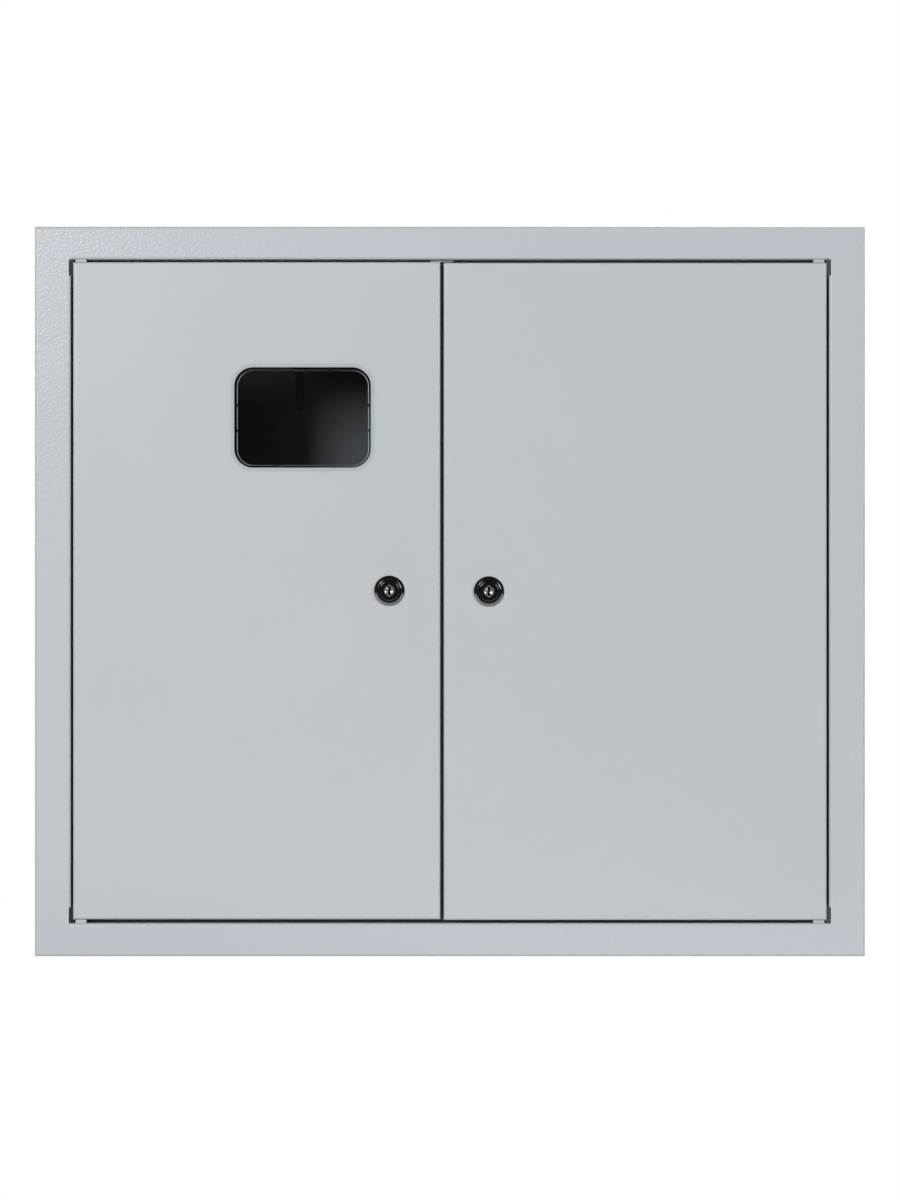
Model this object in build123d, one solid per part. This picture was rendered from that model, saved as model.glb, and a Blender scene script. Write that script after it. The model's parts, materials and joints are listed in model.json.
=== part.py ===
from build123d import *
import math
import os

# Flush-mounted electrical cabinet with two doors, all sizes in millimetres.
# X runs right, Z runs up and the front faces minus Y. The origin is the centre of the
# rear fixing holes, on the outer face of the back.

# Overall sizes
CABINET_DEPTH = 165.0
FRAME_WIDTH = 620.0
FRAME_HEIGHT = 545.0

# Front frame
FRAME_SHEET = 1.2
SIDE_FLANGE = 26.6
END_FLANGE = 24.6
FRAME_LIP = 10.0
STOP_WIDTH = 10.0
STOP_CLEARANCE = 1.2
RELIEF_LENGTH = 12.0
BEND_RADIUS = 0.8

# Doors
DOOR_SHEET = 1.2
DOOR_DEPTH = 15.0
SIDE_GAP = 2.0
END_GAP = 2.4
MEETING_GAP = 2.5
MEETING_X = -5.9
LEFT_DOOR_RISE = 0.5
RIGHT_DOOR_RISE = 0.0
DOOR_CORNER_SLIT = 0.6

# How far a cutter runs past the faces that it cuts
CUT = 2.0

# Hinges
HINGE_INSET = 5.8
HINGE_DEPTH = 5.2
PIN_RADIUS = 2.0
PIN_TAIL = 1.6
PIN_REACH = 7.0
WASHER_WIDTH = 8.0
WASHER_PLAY = 0.2
RUNNING_CLEARANCE = 0.06
SEAT_CLEARANCE = 0.03

# Window in the left door
WINDOW_INSET = 102.85
WINDOW_DROP = 116.1
WINDOW_WIDTH = 102.0
WINDOW_HEIGHT = 75.0
WINDOW_CORNER = 14.0
WINDOW_LIP = 2.8
WINDOW_LIP_HEIGHT = 0.9
WINDOW_LIP_BEVEL = 0.5
WINDOW_BEDDING = 0.1
WINDOW_LENS = 1.8
WINDOW_SKIRT_WALL = 1.5
WINDOW_SKIRT_DEPTH = 8.0
WINDOW_CLEARANCE = 0.35
TONGUE_WIDTH = 6.0
TONGUE_OFFSET = 20.0
TONGUE_SLIT = 1.0
BARB_HEIGHT = 0.7
BARB_LENGTH = 2.1
SLIT_ROOT = 0.6
SIDE_SLIT = 3.0
SIDE_SLIT_OFFSET = 9.5

# Locks
LEFT_LOCK_INSET = 38.0
RIGHT_LOCK_INSET = 33.8
LOCK_Z = 0.0
BEZEL_RADIUS = 11.3
BEZEL_HEIGHT = 3.0
BEZEL_TOP_RADIUS = 9.0
BEZEL_WELL_RADIUS = 7.2
BEZEL_WELL_DEPTH = 0.8
BARREL_RADIUS = 8.0
BARREL_FLATS = 13.6
BARREL_CLEARANCE = 0.15
LOCK_NUT_WIDTH = 22.0
LOCK_NUT_HEIGHT = 4.0
PLUG_RADIUS = 3.9
KEYWAY_WIDTH = 1.9
KEYWAY_HEIGHT = 7.0
KEYWAY_DEPTH = 9.0
CAM_SHEET = 2.0
CAM_WIDTH = 14.0
CAM_LENGTH = 32.0
CAM_TIP_BEVEL = 3.0
CAM_SQUARE = 4.2
CAM_CLEARANCE = 0.5
CAM_PLAY = 0.15

# Centre post between the doors
POST_SHEET = 1.5
POST_WIDTH = 30.0
POST_DEPTH = 8.0
POST_TAB_WIDTH = 17.0
POST_TAB_FRONT = 6.0
POST_END_GAP = 0.5

# Recess box behind the frame
BOX_SHEET = 1.0
BOX_OVERLAP = 15.0
FIXING_INSET_X = 55.0
FIXING_INSET_Z = 57.5
FIXING_RADIUS = 3.75
KNOCKOUT_RADIUS = 16.0
KNOCKOUT_PRESS = 0.4
KNOCKOUT_DEPTH = 90.0
KNOCKOUT_INSET = 145.0

# Brackets and uprights inside
BRACKET_SHEET = 1.5
BRACKET_FLANGE = 16.0
MOUNT_DEPTH = 104.0

# Meter plate and incoming rail, behind the left door
METER_INSET = 110.1
METER_PLATE_WIDTH = 184.0
METER_PLATE_HEIGHT = 250.0
METER_PLATE_DROP = 31.5
METER_PLATE_SHEET = 1.5
METER_PLATE_EDGE = 6.0
METER_SLOT_WIDTH = 6.0
METER_SLOT_LENGTH = 60.0
METER_SLOT_SPREAD = 105.0
METER_SLOT_RISE = 70.0
INCOMING_RAIL_DROP = 70.0
METER_BRACKET_TAIL = 45.0

# Device rails and cover, behind the right door
RAIL_LENGTH = 240.0
RAIL_OVERHANG = 8.0
RAIL_HEIGHT = 35.0
RAIL_CROWN = 26.0
RAIL_DEPTH = 7.5
RAIL_SHEET = 1.0
RAIL_PITCH = 115.0
RAIL_ROWS = 4
RAIL_SLOT_LENGTH = 15.0
RAIL_SLOT_WIDTH = 5.4
RAIL_SLOT_BEVEL = 1.6
RAIL_SLOT_PITCH = 36.0
RAIL_PLAIN_END = 30.0
UPRIGHT_END_GAP = 26.5
COVER_DEPTH = 52.0
COVER_SHEET = 1.0
COVER_RETURN = 12.0
COVER_WIDTH = 250.0
COVER_WALL_GAP = 18.0
COVER_END_GAP = 23.5
COVER_SLOT_WIDTH = 217.0
COVER_SLOT_HEIGHT = 46.0
COVER_POST_WIDTH = 8.0
COVER_POST_INSET = 19.0

# Terminal bars
BAR_LENGTH = 140.0
BAR_HEIGHT = 9.0
BAR_THICKNESS = 8.0
BAR_STANDOFF = 30.0
BAR_FOOT_WIDTH = 14.0
BAR_FOOT_BASE = 20.0
BAR_FOOT_BASE_HEIGHT = 4.0
BAR_FOOT_INSET = 8.0
NEUTRAL_BAR_RISE = 91.5
EARTH_BAR_RISE = 41.5
TERMINALS = 7
TERMINAL_PITCH = 16.0
TERMINAL_RADIUS = 2.8

# Earth studs
STUD_RADIUS = 3.0
STUD_LENGTH = 16.0
STUD_NECK_RADIUS = 2.8
STUD_NUT_WIDTH = 10.0
STUD_NUT_HEIGHT = 5.0
STUD_WASHER_RADIUS = 6.2
STUD_WASHER_HEIGHT = 1.2
BOX_STUD_INSET = 32.0
BOX_STUD_RISE = 34.5

# Sizes that follow from the ones above
opening_x = FRAME_WIDTH / 2 - SIDE_FLANGE
opening_z = FRAME_HEIGHT / 2 - END_FLANGE
bend_run = BEND_RADIUS + FRAME_SHEET + 1.0
door_z = opening_z - END_GAP
swing = math.hypot(HINGE_INSET, DOOR_DEPTH - HINGE_DEPTH)
stop_depth = HINGE_DEPTH + swing + STOP_CLEARANCE
rim_depth = stop_depth + FRAME_SHEET
stop_x = opening_x - STOP_WIDTH
stop_z = opening_z - STOP_WIDTH
box_x = FRAME_WIDTH / 2 - BOX_OVERLAP
box_z = FRAME_HEIGHT / 2 - BOX_OVERLAP
wall_x = box_x - BOX_SHEET
wall_z = box_z - BOX_SHEET
back_depth = CABINET_DEPTH - BOX_SHEET
post_front = stop_depth - POST_SHEET
cam_depth = post_front + POST_DEPTH + CAM_CLEARANCE
barrel_end = cam_depth - CAM_PLAY
window_z = LEFT_DOOR_RISE + door_z - WINDOW_DROP
window_x = MEETING_X - MEETING_GAP / 2 - WINDOW_INSET
meter_x = MEETING_X - METER_INSET
meter_top = wall_z - METER_PLATE_DROP
meter_bottom = meter_top - METER_PLATE_HEIGHT
incoming_z = meter_bottom - INCOMING_RAIL_DROP
bracket_x = METER_PLATE_WIDTH / 2 - METER_PLATE_EDGE
cover_z = wall_z - COVER_END_GAP
rail_x = wall_x - COVER_WALL_GAP - COVER_WIDTH / 2
upright_x = RAIL_LENGTH / 2 - RAIL_OVERHANG
upright_z = wall_z - UPRIGHT_END_GAP
rail_rows = [(row - (RAIL_ROWS - 1) / 2) * RAIL_PITCH for row in range(RAIL_ROWS)]
bar_front = back_depth - BAR_STANDOFF - BAR_THICKNESS
neutral_z = NEUTRAL_BAR_RISE - wall_z
earth_z = EARTH_BAR_RISE - wall_z
box_stud = (BOX_STUD_INSET - wall_x, BOX_STUD_RISE - wall_z)

left_door = {
    "x0": -opening_x + SIDE_GAP,
    "x1": MEETING_X - MEETING_GAP / 2,
    "rise": LEFT_DOOR_RISE,
    "hinge_x": -opening_x + SIDE_GAP + HINGE_INSET,
    "lock_x": MEETING_X - MEETING_GAP / 2 - LEFT_LOCK_INSET,
}
right_door = {
    "x0": MEETING_X + MEETING_GAP / 2,
    "x1": opening_x - SIDE_GAP,
    "rise": RIGHT_DOOR_RISE,
    "hinge_x": opening_x - SIDE_GAP - HINGE_INSET,
    "lock_x": MEETING_X + MEETING_GAP / 2 + RIGHT_LOCK_INSET,
}

# Planes for sections that run along X or Z, with the depth behind the front as their Y
ALONG_X = Plane(origin=(0, -CABINET_DEPTH, 0), x_dir=(0, 0, 1), z_dir=(-1, 0, 0))
ALONG_Z = Plane(origin=(0, -CABINET_DEPTH, 0), x_dir=(1, 0, 0), z_dir=(0, 0, 1))


def depth(distance):
    """Y of a plane that lies this far behind the front face."""
    return distance - CABINET_DEPTH


def block(x0, x1, d0, d1, z0, z1):
    """Box between two X values, two depths behind the front face and two heights."""
    middle = Pos((x0 + x1) / 2, depth((d0 + d1) / 2), (z0 + z1) / 2)
    return middle * Box(x1 - x0, d1 - d0, z1 - z0)


def rod(x, z, d0, d1, radius):
    """Round bar along the depth."""
    return Pos(x, depth((d0 + d1) / 2), z) * Rot(X=90) * Cylinder(radius, d1 - d0)


def upright_rod(x, d, z0, z1, radius):
    """Round bar along Z."""
    return Pos(x, depth(d), (z0 + z1) / 2) * Cylinder(radius, z1 - z0)


def slab(outline, d0, d1):
    """Front-view outline given thickness between two depths."""
    return Pos(0, depth(d1), 0) * extrude(Plane.XZ * outline, d1 - d0)


def group(pieces):
    """Several loose solids as one shape."""
    return Part() + list(pieces)


def strip(points, sheet):
    """Section of a folded sheet whose middle line runs along the points."""
    return trace(FilletPolyline(*points, radius=BEND_RADIUS + sheet / 2), sheet)


def front_edges(solid):
    """Edges round the foremost face."""
    return solid.faces().sort_by(Axis.Y)[0].edges()


def rear_edges(solid):
    """Edges round the rearmost face."""
    return solid.faces().sort_by(Axis.Y)[-1].edges()


def pan(x0, x1, z0, z1, front, deep, sheet):
    """Flat sheet with all four edges folded back, open at the rear."""
    outside = block(x0, x1, front, front + deep, z0, z1)
    outside = fillet(front_edges(outside), BEND_RADIUS + sheet)
    rear = front + deep + CUT
    return outside - block(x0 + sheet, x1 - sheet, front + sheet, rear, z0 + sheet, z1 - sheet)


def hexagon(x, z, d0, d1, width):
    """Hexagonal bar along the depth, its width measured across the flats."""
    outline = Pos(x, z) * RegularPolygon(width / 2, 6, major_radius=False, rotation=30)
    return slab(outline, d0, d1)


def nut(x, z, d0, d1, width, hole):
    """Hexagonal nut along the depth."""
    return hexagon(x, z, d0, d1, width) - rod(x, z, d0 - CUT, d1 + CUT, hole)


def make_front_frame():
    """Frame whose outer edges fold back and whose inner edges fold into a door stop."""
    middle = FRAME_SHEET / 2
    half_x = FRAME_WIDTH / 2
    half_z = FRAME_HEIGHT / 2
    frame = pan(-half_x, half_x, -half_z, half_z, 0, FRAME_LIP, FRAME_SHEET)
    through = FRAME_SHEET + CUT
    end_z = opening_z + bend_run
    frame -= block(-opening_x, opening_x, -CUT, through, -end_z, end_z)
    side_x = opening_x + bend_run
    side_z = opening_z - RELIEF_LENGTH
    frame -= block(-side_x, side_x, -CUT, through, -side_z, side_z)
    # Relief cuts where the folds of the sides stop short of the corners
    notch = opening_x + FRAME_SHEET
    frame -= block(-notch, notch, -CUT, through, -opening_z, opening_z)

    def fold(edge):
        return strip(
            [
                (edge + bend_run, middle),
                (edge + middle, middle),
                (edge + middle, stop_depth + middle),
                (edge - STOP_WIDTH, stop_depth + middle),
            ],
            FRAME_SHEET,
        )

    top = extrude(ALONG_X * fold(opening_z), opening_x, both=True)
    right = extrude(ALONG_Z * fold(opening_x), side_z, both=True)
    for piece in (top, mirror(top, Plane.XY), right, mirror(right, Plane.YZ)):
        frame += piece
    for door in (left_door, right_door):
        hole = PIN_RADIUS + SEAT_CLEARANCE
        for end in (-1, 1):
            z0, z1 = sorted((end * (opening_z - CUT), end * (opening_z + FRAME_SHEET + CUT)))
            frame -= upright_rod(door["hinge_x"], HINGE_DEPTH, z0, z1, hole)
    return frame


def make_recess_box():
    """Box let into the wall, with a rim folded inward behind the frame."""
    outside = block(-box_x, box_x, rim_depth, CABINET_DEPTH, -box_z, box_z)
    outside = fillet(front_edges(outside), BEND_RADIUS + BOX_SHEET)
    outside = fillet(rear_edges(outside), BEND_RADIUS + BOX_SHEET)
    inside = block(-wall_x, wall_x, rim_depth + BOX_SHEET, back_depth, -wall_z, wall_z)
    mouth = rim_depth + BOX_SHEET + CUT
    box = outside - inside - block(-stop_x, stop_x, rim_depth - CUT, mouth, -stop_z, stop_z)
    for side in (-1, 1):
        for end in (-1, 1):
            x = side * (box_x - FIXING_INSET_X)
            z = end * (box_z - FIXING_INSET_Z)
            box -= rod(x, z, back_depth - CUT, CABINET_DEPTH + CUT, FIXING_RADIUS)
    # Knock-outs for the cables, bottom left and top right, pressed part of the way through
    for end in (-1, 1):
        x = end * (box_x - KNOCKOUT_INSET)
        z0, z1 = sorted((end * box_z, end * (box_z + KNOCKOUT_PRESS)))
        box += upright_rod(x, KNOCKOUT_DEPTH, z0, z1, KNOCKOUT_RADIUS)
        z0, z1 = sorted((end * (wall_z - CUT), end * (wall_z + KNOCKOUT_PRESS)))
        box -= upright_rod(x, KNOCKOUT_DEPTH, z0, z1, KNOCKOUT_RADIUS)
    return box


def make_centre_post():
    """Channel behind the meeting edges of the doors, with a tab under the top of the frame."""
    half = POST_WIDTH / 2 - POST_SHEET / 2
    rear = post_front + POST_DEPTH
    middle = post_front + POST_SHEET / 2
    section = strip(
        [
            (MEETING_X - half, rear),
            (MEETING_X - half, middle),
            (MEETING_X + half, middle),
            (MEETING_X + half, rear),
        ],
        POST_SHEET,
    )
    post = extrude(ALONG_Z * section, stop_z - POST_END_GAP, both=True)
    web_x = POST_WIDTH / 2 - POST_SHEET - BEND_RADIUS
    foot_z = BEND_RADIUS + POST_END_GAP - opening_z
    x0, x1 = MEETING_X - web_x, MEETING_X + web_x
    post += block(x0, x1, post_front, stop_depth, foot_z, CUT - stop_z)
    under = opening_z - POST_SHEET / 2
    head = strip([(stop_z - CUT, middle), (under, middle), (under, POST_TAB_FRONT)], POST_SHEET)
    head = extrude(ALONG_X * head, POST_TAB_WIDTH / 2, both=True)
    return post + Pos(MEETING_X, 0, 0) * head


def hinge_heights(door, end):
    """Heights of the frame's inner face, the frame's far face and the door's edge at one end."""
    return end * opening_z, end * (opening_z + FRAME_SHEET), end * door_z + door["rise"]


def make_hinge_pin(door, end):
    """Pin pressed through the frame's fold and reaching into the door."""
    inner, outer, edge = hinge_heights(door, end)
    z0, z1 = sorted((edge - end * PIN_REACH, outer + end * PIN_TAIL))
    return upright_rod(door["hinge_x"], HINGE_DEPTH, z0, z1, PIN_RADIUS)


def make_hinge_washers():
    """Square washers on the pins, in the gaps above and below the doors."""
    washers = []
    half = WASHER_WIDTH / 2
    hole = PIN_RADIUS + SEAT_CLEARANCE
    for door in (left_door, right_door):
        for end in (-1, 1):
            inner, outer, edge = hinge_heights(door, end)
            z0, z1 = sorted((inner, edge + end * WASHER_PLAY))
            x = door["hinge_x"]
            plate = block(x - half, x + half, HINGE_DEPTH - half, HINGE_DEPTH + half, z0, z1)
            washers.append(plate - upright_rod(x, HINGE_DEPTH, z0 - CUT, z1 + CUT, hole))
    return group(washers)


def make_door(door):
    """Door pan with holes for its hinge pins and its lock."""
    low = door["rise"] - door_z
    high = door["rise"] + door_z
    panel = pan(door["x0"], door["x1"], low, high, 0, DOOR_DEPTH, DOOR_SHEET)
    # The folds part at the corners, behind the bends of the front
    start = BEND_RADIUS + DOOR_SHEET
    for x in (door["x0"], door["x1"]):
        for z in (low, high):
            side_x = math.copysign(1, (door["x0"] + door["x1"]) / 2 - x)
            z0, z1 = sorted((z, z + math.copysign(DOOR_SHEET + DOOR_CORNER_SLIT, -z)))
            x0, x1 = sorted((x, x + side_x * DOOR_SHEET))
            panel -= block(x0, x1, start, DOOR_DEPTH + CUT, z0, z1)
    hole = PIN_RADIUS + RUNNING_CLEARANCE
    panel -= upright_rod(door["hinge_x"], HINGE_DEPTH, low - CUT, high + CUT, hole)
    return panel - slab(barrel_outline(door, BARREL_CLEARANCE), -CUT, DOOR_SHEET + CUT)


def barrel_outline(door, clearance):
    """Front-view outline of a lock barrel with its two flats, or of the hole for it."""
    disc = Circle(BARREL_RADIUS + clearance)
    flats = Rectangle(BARREL_FLATS + 2 * clearance, 2 * (BARREL_RADIUS + CUT))
    return Pos(door["lock_x"], door["rise"] + LOCK_Z) * (disc & flats)


def window_outline(grow):
    """Front-view outline of the window hole, grown or shrunk all round."""
    width = WINDOW_WIDTH + 2 * grow
    height = WINDOW_HEIGHT + 2 * grow
    return Pos(window_x, window_z) * RectangleRounded(width, height, WINDOW_CORNER + grow)


def make_left_door():
    """Left door with its window hole."""
    return make_door(left_door) - slab(window_outline(0), -CUT, DOOR_SHEET + CUT)


def make_window():
    """Clear moulded window: lip and lens in front, slit skirt with snap barbs behind."""
    lip = slab(window_outline(WINDOW_LIP), -WINDOW_LIP_HEIGHT, -WINDOW_BEDDING)
    lip = chamfer(front_edges(lip), WINDOW_LIP_BEVEL)
    outer = window_outline(-WINDOW_CLEARANCE)
    inner = window_outline(-WINDOW_CLEARANCE - WINDOW_SKIRT_WALL)
    body = slab(outer, -WINDOW_BEDDING, WINDOW_SKIRT_DEPTH)
    body -= slab(inner, WINDOW_LENS - WINDOW_LIP_HEIGHT, WINDOW_SKIRT_DEPTH + CUT)
    window = lip + body
    slit_front = DOOR_SHEET + SLIT_ROOT
    slit_rear = WINDOW_SKIRT_DEPTH + CUT
    cut_depth = WINDOW_CLEARANCE + WINDOW_SKIRT_WALL + CUT
    for side in (-1, 1):
        edge = window_x + side * WINDOW_WIDTH / 2
        x0, x1 = sorted((edge, edge - side * cut_depth))
        for place in (-SIDE_SLIT_OFFSET, SIDE_SLIT_OFFSET):
            z = window_z + place
            window -= block(x0, x1, slit_front, slit_rear, z - SIDE_SLIT / 2, z + SIDE_SLIT / 2)
        edge = window_z + side * WINDOW_HEIGHT / 2
        z0, z1 = sorted((edge, edge - side * cut_depth))
        for place in (-TONGUE_OFFSET, TONGUE_OFFSET):
            for flank in (-1, 1):
                x = window_x + place + flank * (TONGUE_WIDTH + TONGUE_SLIT) / 2
                window -= block(x - TONGUE_SLIT / 2, x + TONGUE_SLIT / 2, slit_front, slit_rear, z0, z1)
    # Barbs that spring out behind the door's sheet
    grip = DOOR_SHEET + SEAT_CLEARANCE
    root = WINDOW_HEIGHT / 2 - WINDOW_CLEARANCE
    for side in (-1, 1):
        barb = Polygon(
            (side * (root - WINDOW_SKIRT_WALL / 2), grip),
            (side * (root + WINDOW_CLEARANCE + BARB_HEIGHT), grip),
            (side * root, grip + BARB_LENGTH),
            (side * (root - WINDOW_SKIRT_WALL / 2), grip + BARB_LENGTH),
            align=None,
        )
        barb = extrude(ALONG_X * barb, TONGUE_WIDTH / 2, both=True)
        for place in (-TONGUE_OFFSET, TONGUE_OFFSET):
            window += Pos(window_x + place, 0, window_z) * barb
    return window


def lock_place(door):
    """Front-view place of a door's lock."""
    return door["lock_x"], door["rise"] + LOCK_Z


def make_lock_body(door):
    """Round bezel in front of the door and barrel with two flats through it."""
    well = BEZEL_WELL_DEPTH - BEZEL_HEIGHT
    profile = Polygon(
        (0, 0),
        (BEZEL_RADIUS, 0),
        (BEZEL_TOP_RADIUS, -BEZEL_HEIGHT),
        (BEZEL_WELL_RADIUS, -BEZEL_HEIGHT),
        (BEZEL_WELL_RADIUS, well),
        (0, well),
        align=None,
    )
    bezel = revolve(ALONG_Z * profile, Axis((0, -CABINET_DEPTH, 0), (0, 1, 0)))
    x, z = lock_place(door)
    body = Pos(x, 0, z) * bezel
    body += slab(barrel_outline(door, 0), 0, barrel_end)
    return body - rod(x, z, well - CUT, barrel_end + CUT, PLUG_RADIUS + RUNNING_CLEARANCE)


def make_lock_nut(door):
    """Nut that clamps the lock from inside the door."""
    x, z = lock_place(door)
    hole = BARREL_RADIUS + SEAT_CLEARANCE
    return nut(x, z, DOOR_SHEET, DOOR_SHEET + LOCK_NUT_HEIGHT, LOCK_NUT_WIDTH, hole)


def make_lock_plug(door):
    """Turning plug with a keyway in front and a square tail for the cam."""
    x, z = lock_place(door)
    well = BEZEL_WELL_DEPTH - BEZEL_HEIGHT
    plug = rod(x, z, well, cam_depth, PLUG_RADIUS)
    half = CAM_SQUARE / 2
    plug += block(x - half, x + half, cam_depth, cam_depth + CAM_SHEET, z - half, z + half)
    key = KEYWAY_WIDTH / 2
    tall = KEYWAY_HEIGHT / 2
    return plug - block(x - key, x + key, well - CUT, well + KEYWAY_DEPTH, z - tall, z + tall)


def make_lock_cam(door):
    """Flat cam on the plug's tail, hanging down while the door is unlocked."""
    x, z = lock_place(door)
    arm = Pos(x, z - CAM_LENGTH / 2) * Rectangle(CAM_WIDTH, CAM_LENGTH)
    arm = chamfer(arm.vertices().group_by(Axis.Y)[0], CAM_TIP_BEVEL)
    outline = arm + Pos(x, z) * Circle(CAM_WIDTH / 2)
    rear = cam_depth + CAM_SHEET
    half = CAM_SQUARE / 2 + SEAT_CLEARANCE
    hole = block(x - half, x + half, cam_depth - CUT, rear + CUT, z - half, z + half)
    return slab(outline, cam_depth, rear) - hole


def make_bracket(x, z0, z1, inward):
    """Upright of C section between the back of the box and the mounting plane."""
    reach = inward * BRACKET_FLANGE
    x0, x1 = sorted((x, x + reach))
    channel = block(x0, x1, MOUNT_DEPTH, back_depth, z0, z1)
    wall = inward * BRACKET_SHEET
    x0, x1 = sorted((x + wall, x + reach + inward * CUT))
    hollow = block(x0, x1, MOUNT_DEPTH + BRACKET_SHEET, back_depth - BRACKET_SHEET, z0 - CUT, z1 + CUT)
    return channel - hollow


def make_meter_plate():
    """Plate for the meter, with one upright slot and two level ones for its screws."""
    front = MOUNT_DEPTH - METER_PLATE_SHEET
    half = METER_PLATE_WIDTH / 2
    plate = block(meter_x - half, meter_x + half, front, MOUNT_DEPTH, meter_bottom, meter_top)
    slot = SlotOverall(METER_SLOT_LENGTH, METER_SLOT_WIDTH)
    middle = (meter_top + meter_bottom) / 2
    places = [Pos(meter_x, middle + METER_SLOT_RISE) * Rot(Z=90)]
    for side in (-1, 1):
        places.append(Pos(meter_x + side * METER_SLOT_SPREAD / 2, middle - METER_SLOT_RISE))
    for place in places:
        plate -= slab(place * slot, front - CUT, MOUNT_DEPTH + CUT)
    return plate


def make_rail(x, z, length):
    """Top-hat rail along X, slotted in its floor."""
    brim = RAIL_HEIGHT / 2
    crown = RAIL_CROWN / 2
    front = MOUNT_DEPTH - RAIL_DEPTH
    x0, x1 = x - length / 2, x + length / 2
    rail = block(x0, x1, front, front + RAIL_SHEET, z - brim, z + brim)
    rail += block(x0, x1, front, MOUNT_DEPTH, z - crown, z + crown)
    hollow = crown - RAIL_SHEET
    rail -= block(x0 - CUT, x1 + CUT, front - CUT, MOUNT_DEPTH - RAIL_SHEET, z - hollow, z + hollow)
    slot = Rectangle(RAIL_SLOT_LENGTH, RAIL_SLOT_WIDTH)
    slot = chamfer(slot.vertices(), RAIL_SLOT_BEVEL)
    slots = int((length - 2 * RAIL_PLAIN_END) / RAIL_SLOT_PITCH)
    for number in range(slots):
        place = Pos(x + (number - (slots - 1) / 2) * RAIL_SLOT_PITCH, z)
        rail -= slab(place * slot, MOUNT_DEPTH - RAIL_SHEET - CUT, MOUNT_DEPTH + CUT)
    return rail


def make_cover():
    """Cover in front of the device rails, with one slot for each rail."""
    half = COVER_WIDTH / 2
    x0, x1 = rail_x - half, rail_x + half
    cover = pan(x0, x1, -cover_z, cover_z, COVER_DEPTH, COVER_RETURN, COVER_SHEET)
    for z in rail_rows:
        slot = Pos(rail_x, z) * Rectangle(COVER_SLOT_WIDTH, COVER_SLOT_HEIGHT)
        cover -= slab(slot, COVER_DEPTH - CUT, COVER_DEPTH + COVER_SHEET + CUT)
    return cover


def make_cover_posts():
    """Hexagonal posts between the uprights and the cover."""
    posts = []
    reach = upright_x - BRACKET_FLANGE / 2
    for x in (rail_x - reach, rail_x + reach):
        for end in (-1, 1):
            z = end * (cover_z - COVER_POST_INSET)
            posts.append(hexagon(x, z, COVER_DEPTH + COVER_SHEET, MOUNT_DEPTH, COVER_POST_WIDTH))
    return group(posts)


def make_bar(z):
    """Terminal bar with a wire hole from below at each terminal."""
    half = BAR_LENGTH / 2
    tall = BAR_HEIGHT / 2
    rear = bar_front + BAR_THICKNESS
    bar = block(meter_x - half, meter_x + half, bar_front, rear, z - tall, z + tall)
    hole = extrude(RegularPolygon(TERMINAL_RADIUS, 8), tall + CUT, both=True)
    for number in range(TERMINALS):
        x = meter_x + (number - (TERMINALS - 1) / 2) * TERMINAL_PITCH
        bar -= Pos(x, depth((bar_front + rear) / 2), z) * hole
    return bar


def make_bar_feet(z):
    """Two moulded feet between a terminal bar and the back of the box."""
    feet = []
    start = bar_front + BAR_THICKNESS
    base = back_depth - BAR_FOOT_BASE_HEIGHT
    half = BAR_FOOT_WIDTH / 2
    wide = BAR_FOOT_BASE / 2
    reach = BAR_LENGTH / 2 - BAR_FOOT_INSET
    for x in (meter_x - reach, meter_x + reach):
        foot = block(x - half, x + half, start, base, z - half, z + half)
        feet.append(foot + block(x - wide, x + wide, base, back_depth, z - half, z + half))
    return group(feet)


def make_earth_stud():
    """Threaded stud welded to the back of the box, with a plain neck under its nut."""
    neck = back_depth - STUD_WASHER_HEIGHT - STUD_NUT_HEIGHT
    stud = rod(*box_stud, back_depth - STUD_LENGTH, neck, STUD_RADIUS)
    return stud + rod(*box_stud, neck, back_depth, STUD_NECK_RADIUS)


def make_earth_nut():
    """Washer and nut on the earth stud."""
    hole = STUD_RADIUS + SEAT_CLEARANCE
    seat = back_depth - STUD_WASHER_HEIGHT
    washer = rod(*box_stud, seat, back_depth, STUD_WASHER_RADIUS)
    washer -= rod(*box_stud, seat - CUT, back_depth + CUT, hole)
    return washer + nut(*box_stud, seat - STUD_NUT_HEIGHT, seat, STUD_NUT_WIDTH, hole)


bracket_bottom = incoming_z - METER_BRACKET_TAIL

parts = {
    "recess_box": make_recess_box(),
    "front_frame": make_front_frame(),
    "centre_post": make_centre_post(),
    "upper_left_hinge_pin": make_hinge_pin(left_door, 1),
    "lower_left_hinge_pin": make_hinge_pin(left_door, -1),
    "upper_right_hinge_pin": make_hinge_pin(right_door, 1),
    "lower_right_hinge_pin": make_hinge_pin(right_door, -1),
    "hinge_washers": make_hinge_washers(),
    "left_door": make_left_door(),
    "window": make_window(),
    "right_door": make_door(right_door),
    "meter_bracket_left": make_bracket(meter_x - bracket_x, bracket_bottom, meter_top, 1),
    "meter_bracket_right": make_bracket(meter_x + bracket_x, bracket_bottom, meter_top, -1),
    "meter_plate": make_meter_plate(),
    "incoming_rail": make_rail(meter_x, incoming_z, METER_PLATE_WIDTH),
    "rail_upright_left": make_bracket(rail_x - upright_x, -upright_z, upright_z, 1),
    "rail_upright_right": make_bracket(rail_x + upright_x, -upright_z, upright_z, -1),
    "cover": make_cover(),
    "cover_posts": make_cover_posts(),
    "neutral_bar": make_bar(neutral_z),
    "neutral_bar_feet": make_bar_feet(neutral_z),
    "earth_bar": make_bar(earth_z),
    "earth_bar_feet": make_bar_feet(earth_z),
    "earth_stud": make_earth_stud(),
    "earth_nut": make_earth_nut(),
}
for side, door in (("left", left_door), ("right", right_door)):
    parts[f"{side}_lock_body"] = make_lock_body(door)
    parts[f"{side}_lock_nut"] = make_lock_nut(door)
    parts[f"{side}_lock_plug"] = make_lock_plug(door)
    parts[f"{side}_lock_cam"] = make_lock_cam(door)
for row, rail_z in enumerate(rail_rows):
    parts[f"device_rail_{row + 1}"] = make_rail(rail_x, rail_z, RAIL_LENGTH)

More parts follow.
